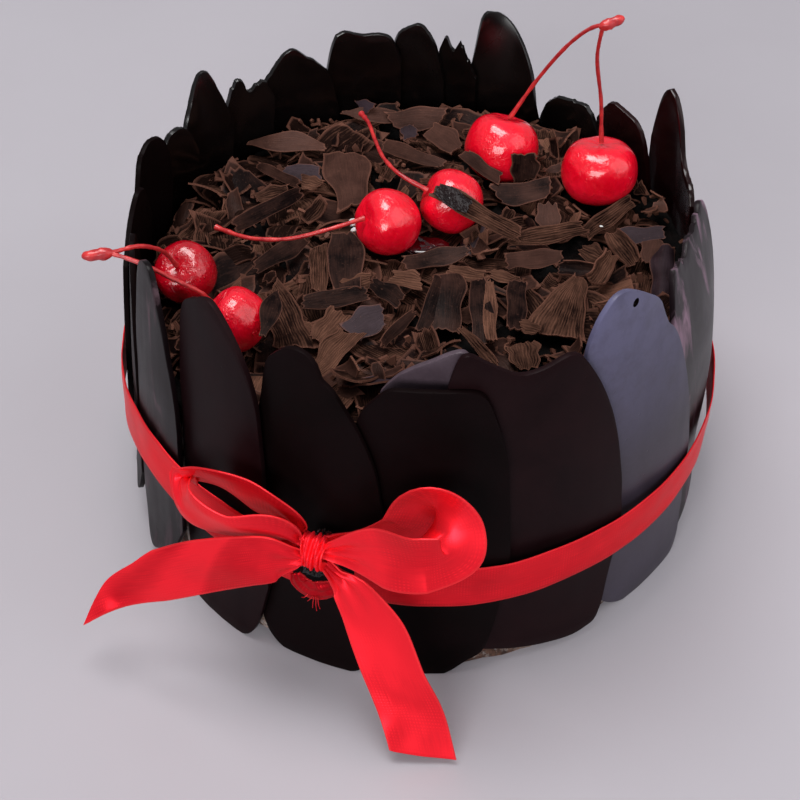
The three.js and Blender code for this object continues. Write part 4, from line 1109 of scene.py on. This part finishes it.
def covers(points):
    """Whether points lie over or in one of the listed shavings."""
    x, y, z = (points[:, None, i] - kept_clear[None, :, i] for i in range(3))
    return bool(((np.hypot(x, y) < cover["reach"]) & (z > -cover["depth"])).any())


def scatter(name, models, count, reach, low, high, tilt, roll, tones=(0, 0, 0.1, 0.45, 0.6, 1.1)):
    """Strews copies of models evenly over the heap, where they may cross, as one piece."""
    outlines = [points_of(model) for model in models]
    laid = []
    for k in range(count):
        for _ in range(tries):
            out = reach * sqrt((k + 0.5) / count) + dice.uniform(-3, 3)
            angle = golden_angle * k + dice.uniform(-0.3, 0.3)
            x, y = out * sin(angle), -out * cos(angle)
            which = dice.randrange(len(models))
            size = dice.uniform(0.75, 1.2)
            place = Vector((x, y, heap_height(x, y) + dice.uniform(low, high)))
            matrix = turned(dice.uniform(0, 2 * pi), dice.uniform(-tilt, tilt),
                            dice.uniform(-roll, roll), dice.random() < 0.5, place,
                            (size, size * dice.uniform(0.8, 1.15), 1))
            tone = dice.choice(tones) + dice.uniform(-0.12, 0.12)
            # Painted shade: shavings on the left are darkened.
            tone -= dark_side["tone"] if x < dark_side["left_of"] else 0
            moved = outlines[which] @ np.array(matrix.to_3x3()).T + np.array(place)
            if clear(moved) and not covers(moved):
                laid.append(lay(models[which], matrix, tone))
                break
    for model in models:
        bpy.data.objects.remove(model)
    piece = joined(laid, name)
    smooth(piece, 50)
    return piece


broad = masters("broad", 12, length=(13, 25), width=(8, 14), curl=(-0.9, 0.9), cup=(-1.1, 1.1),
                twist=(-0.4, 0.4), ragged=(0.6, 1.6), taper=(-0.5, 0.5))
curled = masters("curled", 8, length=(11, 20), width=(4, 8), curl=(1.2, 2.8), cup=(-0.5, 0.5),
                 twist=(-0.5, 0.5), ragged=(0.4, 1.2))
blue = masters("blue", 4, length=(11, 17), width=(6, 9), curl=(-0.5, 0.5), cup=(-0.8, 0.8),
               twist=(-0.3, 0.3), ragged=(0.4, 1.0))
small = masters("small", 8, length=(3.5, 9), width=(2, 5), curl=(-0.8, 0.8), ragged=(0.3, 0.8),
                columns=4, rows=3, thickness=0.45)
crumb = masters("crumb", 4, length=(1.2, 2.6), width=(0.8, 1.8), curl=(0, 0.4), ragged=(0.2, 0.4),
                columns=2, rows=1, thickness=0.7)

# Number strewn, how far out, how far up from the heap's height, and how far they tilt and roll. The ones
# underneath also get dark tones, a painted shade.
for finishes, name, *strewing in (
        (dark_sides, "shavings_under", broad[:6], 190, 75, -1.6, 0.4, 0.3, 0.3, (0, 0.1, 0.4)),
        (dark_sides, "shavings_broad", broad[6:], 150, 73, 0.4, 3.4, 0.55, 0.6),
        (dark_sides, "shavings_curled", curled, 130, 75, 0.4, 3.2, 0.55, 0.8),
        (pale_sides, "shavings_bloomed", blue, 26, 73, 1.0, 3.0, 0.45, 0.5),
        (dark_sides, "shavings_small", small, 330, 77, -0.4, 4.0, 0.9, 0.9),
        (dark_sides, "shaving_crumbs", crumb, 400, 78, -0.4, 4.0, 1.2, 1.2)):
    belongs(scatter(name, *strewing), ["shavings"], "shaved_chocolate", *finishes)


def drop_piece(name, middle, reach, seed):
    """A soft lump as wide as reach, in millimetres along x, y and z."""
    def place(way, *_):
        lump = 1 + 0.3 * ripple(1.6 * way.x + seed, 1.6 * way.y, 1.6 * way.z)
        return Vector(middle) + Vector(way[i] * reach[i] * lump for i in range(3))

    return lump_piece(name, 28, 18, place)


for drop in (("syrup_pool", pool, (8, 4.2, 0.9), 3),
             ("syrup_drip", (-34, -49.5, 72.2), (2.2, 3.2, 0.8), 8)):
    belongs(drop_piece(*drop), ["shavings"], "cherry", cherry_syrup)
belongs(joined([drop_piece("cream_fleck", middle, reach, seed) for middle, reach, seed in (
    ((-18, 3.4, 79), (1.5, 1.2, 0.9), 1), ((-17.4, 1.8, 77.6), (0.9, 0.9, 0.7), 4),
    ((47.8, 22.6, 77.4), (0.5, 0.25, 0.2), 6))], "cream_flecks"),
    ["shavings"], "sponge_and_cream", whipped_cream)

# ---- satin ribbon


def strip_surface(stations, bulge, cut, folds):
    """A bow strip's middle face and its length. stations are (angle, z, out, tilt, width share)."""
    middle = smooth_path([on_wall(angle, z, out) for angle, z, out, _, _ in stations])
    last = len(stations) - 1
    tilt, share = (through([(i / last, row[column]) for i, row in enumerate(stations)]) for column in (3, 4))

    def place(s, t):
        along = s * mix(*cut, t ** 0.8)
        centre = middle(along)
        tangent = (middle(min(along + 1e-4, 1)) - middle(max(along - 1e-4, 0))).normalized()
        outwards = Vector((centre.x, centre.y, 0)).normalized()
        flat = outwards.cross(tangent).normalized()
        raised = tangent.cross(flat).normalized()
        lean = radians(tilt(along))
        across = flat * cos(lean) + raised * sin(lean)
        normal = tangent.cross(across).normalized()
        width = share(along)
        pleat = folds * (1 - width) * sin(2 * pi * (2.6 * t + 0.35 + 0.4 * along))
        crease = min(ribbon["wrinkle"], width) * ripple(5 * along + stations[0][0] + 1.5 * t, 1.4 * t, bulge)
        crease += 0.3 * ribbon["wrinkle"] * ripple(13 * along, 3 * t, 5 + bulge)
        return (centre + across * (ribbon["width"] * width * (t - 0.5))
                + normal * (bulge * (1 - (2 * t - 1) ** 2) + pleat + crease))

    length = sum((middle((k + 1) / 60) - middle(k / 60)).length for k in range(60))
    return place, length


def satin(name, node, columns, rows, place, length, shade, trims=()):
    """A strip of ribbon along s and across t, whose UV map is its flat cut in millimetres. shade is
    (place along it, painted light there) pairs: low values are painted shade, high ones a painted highlight."""
    piece = sheet_piece(name, rows, columns, lambda s, t: place(t, s), ribbon["width"], length)
    painted_light = through(shade)
    point_values(piece.data, "painted_light", np.repeat([painted_light(k / columns) for k in range(columns + 1)], rows + 1))
    only(piece)
    bpy.ops.object.mode_set(mode="EDIT")
    bpy.ops.mesh.select_all(action="SELECT")
    bpy.ops.mesh.flip_normals()
    bpy.ops.object.mode_set(mode="OBJECT")
    thicken(piece, ribbon["thickness"], offset=0)
    round_edges(piece, ribbon["bevel"], 1)
    smooth(piece, 50)
    belongs(piece, [node], "red_satin", red_satin)
    list(trims)


band_height, band_gathered = through(band["height"]), through(band["gathered"])


def band_place(s, t):
    angle = mix(ribbon["knot_half_angle"], 360 - ribbon["knot_half_angle"], s)
    z = band_height(angle) + ribbon["width"] * band_gathered(angle) * (t - 0.5)
    slack = 0.16 * ripple(angle / 7, 2 * t) + 0.5 * (1 - band_gathered(angle)) * sin(9 * t + angle / 30)
    return on_wall(angle, z, band["out"] + band["lift"] + slack)


band_girth = 2 * pi * (wall_radius(0, band_height(0)) + band["out"])
band_length = band_girth * (1 - 2 * ribbon["knot_half_angle"] / 360)
# The band's shade pairs paint light and shade around the cake.
satin("satin_band", "ribbon_band", 420, 10, band_place, band_length,
      [(0, 0.25), (0.08, 0.2), (0.16, 0.4), (0.25, 0.6), (0.5, 0.5), (0.75, 0.45), (0.9, 0.6), (1, 0.3)])

# Loose threads at the scrap's torn end: each one's angle, how far it leans and how long it hangs.
frays = joined([
    stalk_run([on_wall(angle + k * lean, fray["top"] - k * drop / 2, out)
               for k, out in enumerate(fray["outs"])], 8, radius=fray["radius"])
    for angle, lean, drop in ((-1.8, -0.5, 1.2), (-1.0, -0.4, 2.0), (-0.75, -0.1, 4.2), (-0.4, 0.06, 5.0),
                              (-0.1, 0.2, 3.9))], "satin_frays")
smooth(frays, 60)
belongs(frays, ["bow_scrap"], "red_satin", red_satin)

# into is where a strip runs inside the knot at its start and end, as one more station. cut is where
# its two edges end, as shares of its length. left, meant as the share that a torn end leaves, is not used.
# Each strip's shade pairs paint light and shade along it.
bow = {
    "loop_left": dict(
        shade=[(0, 0.1), (0.2, 0.1), (0.4, 0.15), (0.5, 0.8), (0.6, 1), (0.7, 0.8), (0.8, 0.2), (1, 0.3)],
        bulge=1, folds=1.2, into=((-1.2, 55.4, 4.6, 0, 0.2), (-1.2, 56, 6.2, 0, 0.2)),
        stations=[(-2.7, 55.6, 3.9, 0, 0.3), (-5.8, 61, 4.1, -16, 0.85), (-12.2, 62.6, 4, -14, 1),
                  (-19.6, 62.4, 4.7, -30, 0.95), (-24.2, 60, 6.9, -38, 0.5), (-20.5, 58, 11.4, 0, 0.95),
                  (-12.2, 57.2, 10.4, 22, 1), (-5.2, 58.6, 8, 6, 0.85), (-2.7, 56, 6.3, 0, 0.3)]),
    "loop_right": dict(
        shade=[(0, 0.2), (0.2, 0.3), (0.42, 0.3), (0.52, 1), (0.6, 0.6), (0.68, 0.4), (0.75, 0.4),
               (0.82, 1), (0.92, 0.8), (1, 0.2)],
        bulge=-1, folds=1.0, into=((1.2, 55, 4.6, 0, 0.2), (1.2, 55.2, 7.6, 0, 0.22)),
        stations=[(2.7, 55, 3.9, 0, 0.3), (8.6, 57.5, 5, 4, 0.8), (14.5, 63.1, 5, 4, 1),
                  (17.5, 72.9, 5.8, 4, 1), (20.1, 71, 11.2, -2, 1), (20, 66.4, 15.2, 4, 1),
                  (16.2, 65.6, 16.8, 14, 1), (10, 61.8, 12.2, 22, 1), (2.7, 55.5, 7.6, 0, 0.38)]),
    "tail_left": dict(
        shade=[(0, 0.2), (0.15, 0.4), (0.35, 0.3), (0.58, 0.3), (0.63, 0.9), (0.76, 0.8), (0.86, 0.2),
               (0.93, 0.2), (1, 0.7)],
        bulge=0.6, cut=(0.66, 1), folds=1.2, into=((-1.2, 52.2, 7.6, 0, 0.3), None),
        stations=[(-2.7, 52.2, 9, 0, 0.55), (-6, 52.3, 11.4, 3, 0.92), (-10.6, 49.6, 13.6, 0, 1),
                  (-17.6, 42, 15.5, 1, 1), (-24.4, 34, 20.3, -4, 1), (-30.6, 28, 26.4, 9, 1),
                  (-34.2, 20.3, 33, 11, 1)]),
    "tail_right": dict(
        shade=[(0, 0.1), (0.15, 0.15), (0.3, 0.75), (0.6, 0.85), (0.8, 0.55), (1, 0.7)],
        bulge=-0.6, cut=(0.92, 1), folds=1.2, into=((1.4, 49.8, 6.2, 0, 0.2), None),
        stations=[(3.2, 46.8, 6.8, 0, 0.3), (5.6, 43.8, 8, 2, 0.7), (9.7, 35.1, 12, 5, 1),
                  (13, 23, 17.8, 3, 1), (15.5, 12.6, 21.6, -5, 1), (17.2, 0.3, 26.2, -6, 1)]),
    "scrap": dict(
        shade=[(0, -0.5), (0.5, -0.2), (1, -0.4)],
        bulge=0.1, folds=0.2, columns=40, left=0.6, trims=[frays],
        stations=[(-4.2, 39.8, 4, 0, 0.2), (-2.8, 36.8, 4.3, 0, 0.42), (-0.2, 36.2, 4.5, 0, 0.46),
                  (2.4, 38.4, 4, 0, 0.3)]),
}
for name, strip in bow.items():
    cut = strip.get("cut", (1, 1))
    first, last = strip.get("into", (None, None))
    stations = [first] * bool(first) + strip["stations"] + [last] * bool(last)
    place, length = strip_surface(stations, strip["bulge"], cut, strip["folds"])
    satin("satin_" + name, "bow_" + name, strip.get("columns", 110), 18, place, length,
          strip["shade"], trims=strip.get("trims", ()))


def knot_place(s, t):
    """The ribbon wrapped over the middle of the bow, its width gathered into upright pleats."""
    around = radians(mix(*knot["wrap"], 1 - s))
    side = 2 * t - 1
    waist = 0.9 + 0.1 * abs(side) ** 2
    wander = 1.9 * sin(1.5 * around + 3 * t) + 2.2 * t * t + 1.3 * sin(7 * t)
    pleat = 0.62 * sin(20 * t + wander) + 0.38 * sin(43 * t + 2.6 * around)
    edge = 1 - 0.3 * abs(side) ** 4
    z = knot["height"] + (knot["half_height"] * waist * edge + pleat * 0.6) * cos(around)
    out = knot["out"] + (knot["half_depth"] * edge + pleat) * sin(around)
    x = (knot["half_width"] - gap) * side * (0.93 + 0.1 * cos(2 * around))
    return Vector((x, on_wall(0, z, out).y, z))


# The knot's shade pairs paint light and shade on it.
satin("satin_knot", "bow_knot", 60, 70, knot_place, knot["length"],
      [(0, 0.3), (0.5, 0.7), (1, 0.4)])


def dab_place(way, *_):
    """Crumbs of chocolate pressed between the bow and the wall."""
    rough = 1 + 0.16 * ripple(4 * way.x, 4 * way.y, 8 * way.z) + 0.08 * ripple(9 * way.x, 3, 20 * way.z)
    local = Vector((way.x * dab["half_width"], way.y * dab["half_depth"], way.z * dab["half_height"]))
    middle = on_wall(0, knot["height"] - dab["drop"], dab["out"] + gap)
    return middle + Matrix.Rotation(radians(dab["lean"]), 3, "Y") @ local * rough


belongs(lump_piece("crumbled_dab", 48, 60, dab_place, 60), ["chocolate_dab"], "dark_chocolate",
        crumbled_chocolate)

# ---- floor, light and camera

deselect()
bpy.ops.mesh.primitive_plane_add(size=6)
floor = named("floor")
floor.data.materials.append(pale_floor)

scene.view_settings.view_transform = "Standard"
world = bpy.data.worlds.new("studio") if scene.world is None else scene.world
scene.world = world
world.use_nodes = True
Tree(world.node_tree).feeds(world.node_tree.nodes["Background"], Color=(0.92, 0.94, 1.0, 1.0), Strength=0.25)


def softbox(name, place, size, energy, tint=(1, 1, 1)):
    """A light turned towards the cake's middle."""
    deselect()
    bpy.ops.object.light_add(type="AREA", location=Vector(place) * MM)
    light = named(name)
    light.data.shape = "RECTANGLE"
    light.data.size, light.data.size_y = size[0] * MM, size[1] * MM
    light.data.energy = energy
    light.data.color = tint
    light.rotation_mode = "QUATERNION"
    light.rotation_quaternion = (Vector((0, 0, 60)) - Vector(place)).to_track_quat("-Z", "Y")


softbox("key", (-160, 60, 1000), (420, 600), 7.9)
softbox("front", (-60, -2000, 900), (1400, 800), 27.5)
softbox("fill", (1100, -100, 900), (1400, 1400), 7.2, (0.98, 0.96, 0.98))

deselect()
bpy.ops.object.camera_add()
camera = named("camera")
camera.data.lens, camera.data.sensor_width = 61.83, 36
eye, target = Vector((73.53, -283.10, 314.95)), Vector((-7.75, 15.66, 0))
camera.location = eye * MM
camera.rotation_mode = "QUATERNION"
roll = Quaternion((0, 0, 1), radians(0.461))
camera.rotation_quaternion = (target - eye).to_track_quat("-Z", "Y") @ roll
camera.data.clip_start, camera.data.clip_end = 0.01, 20
scene.camera = camera
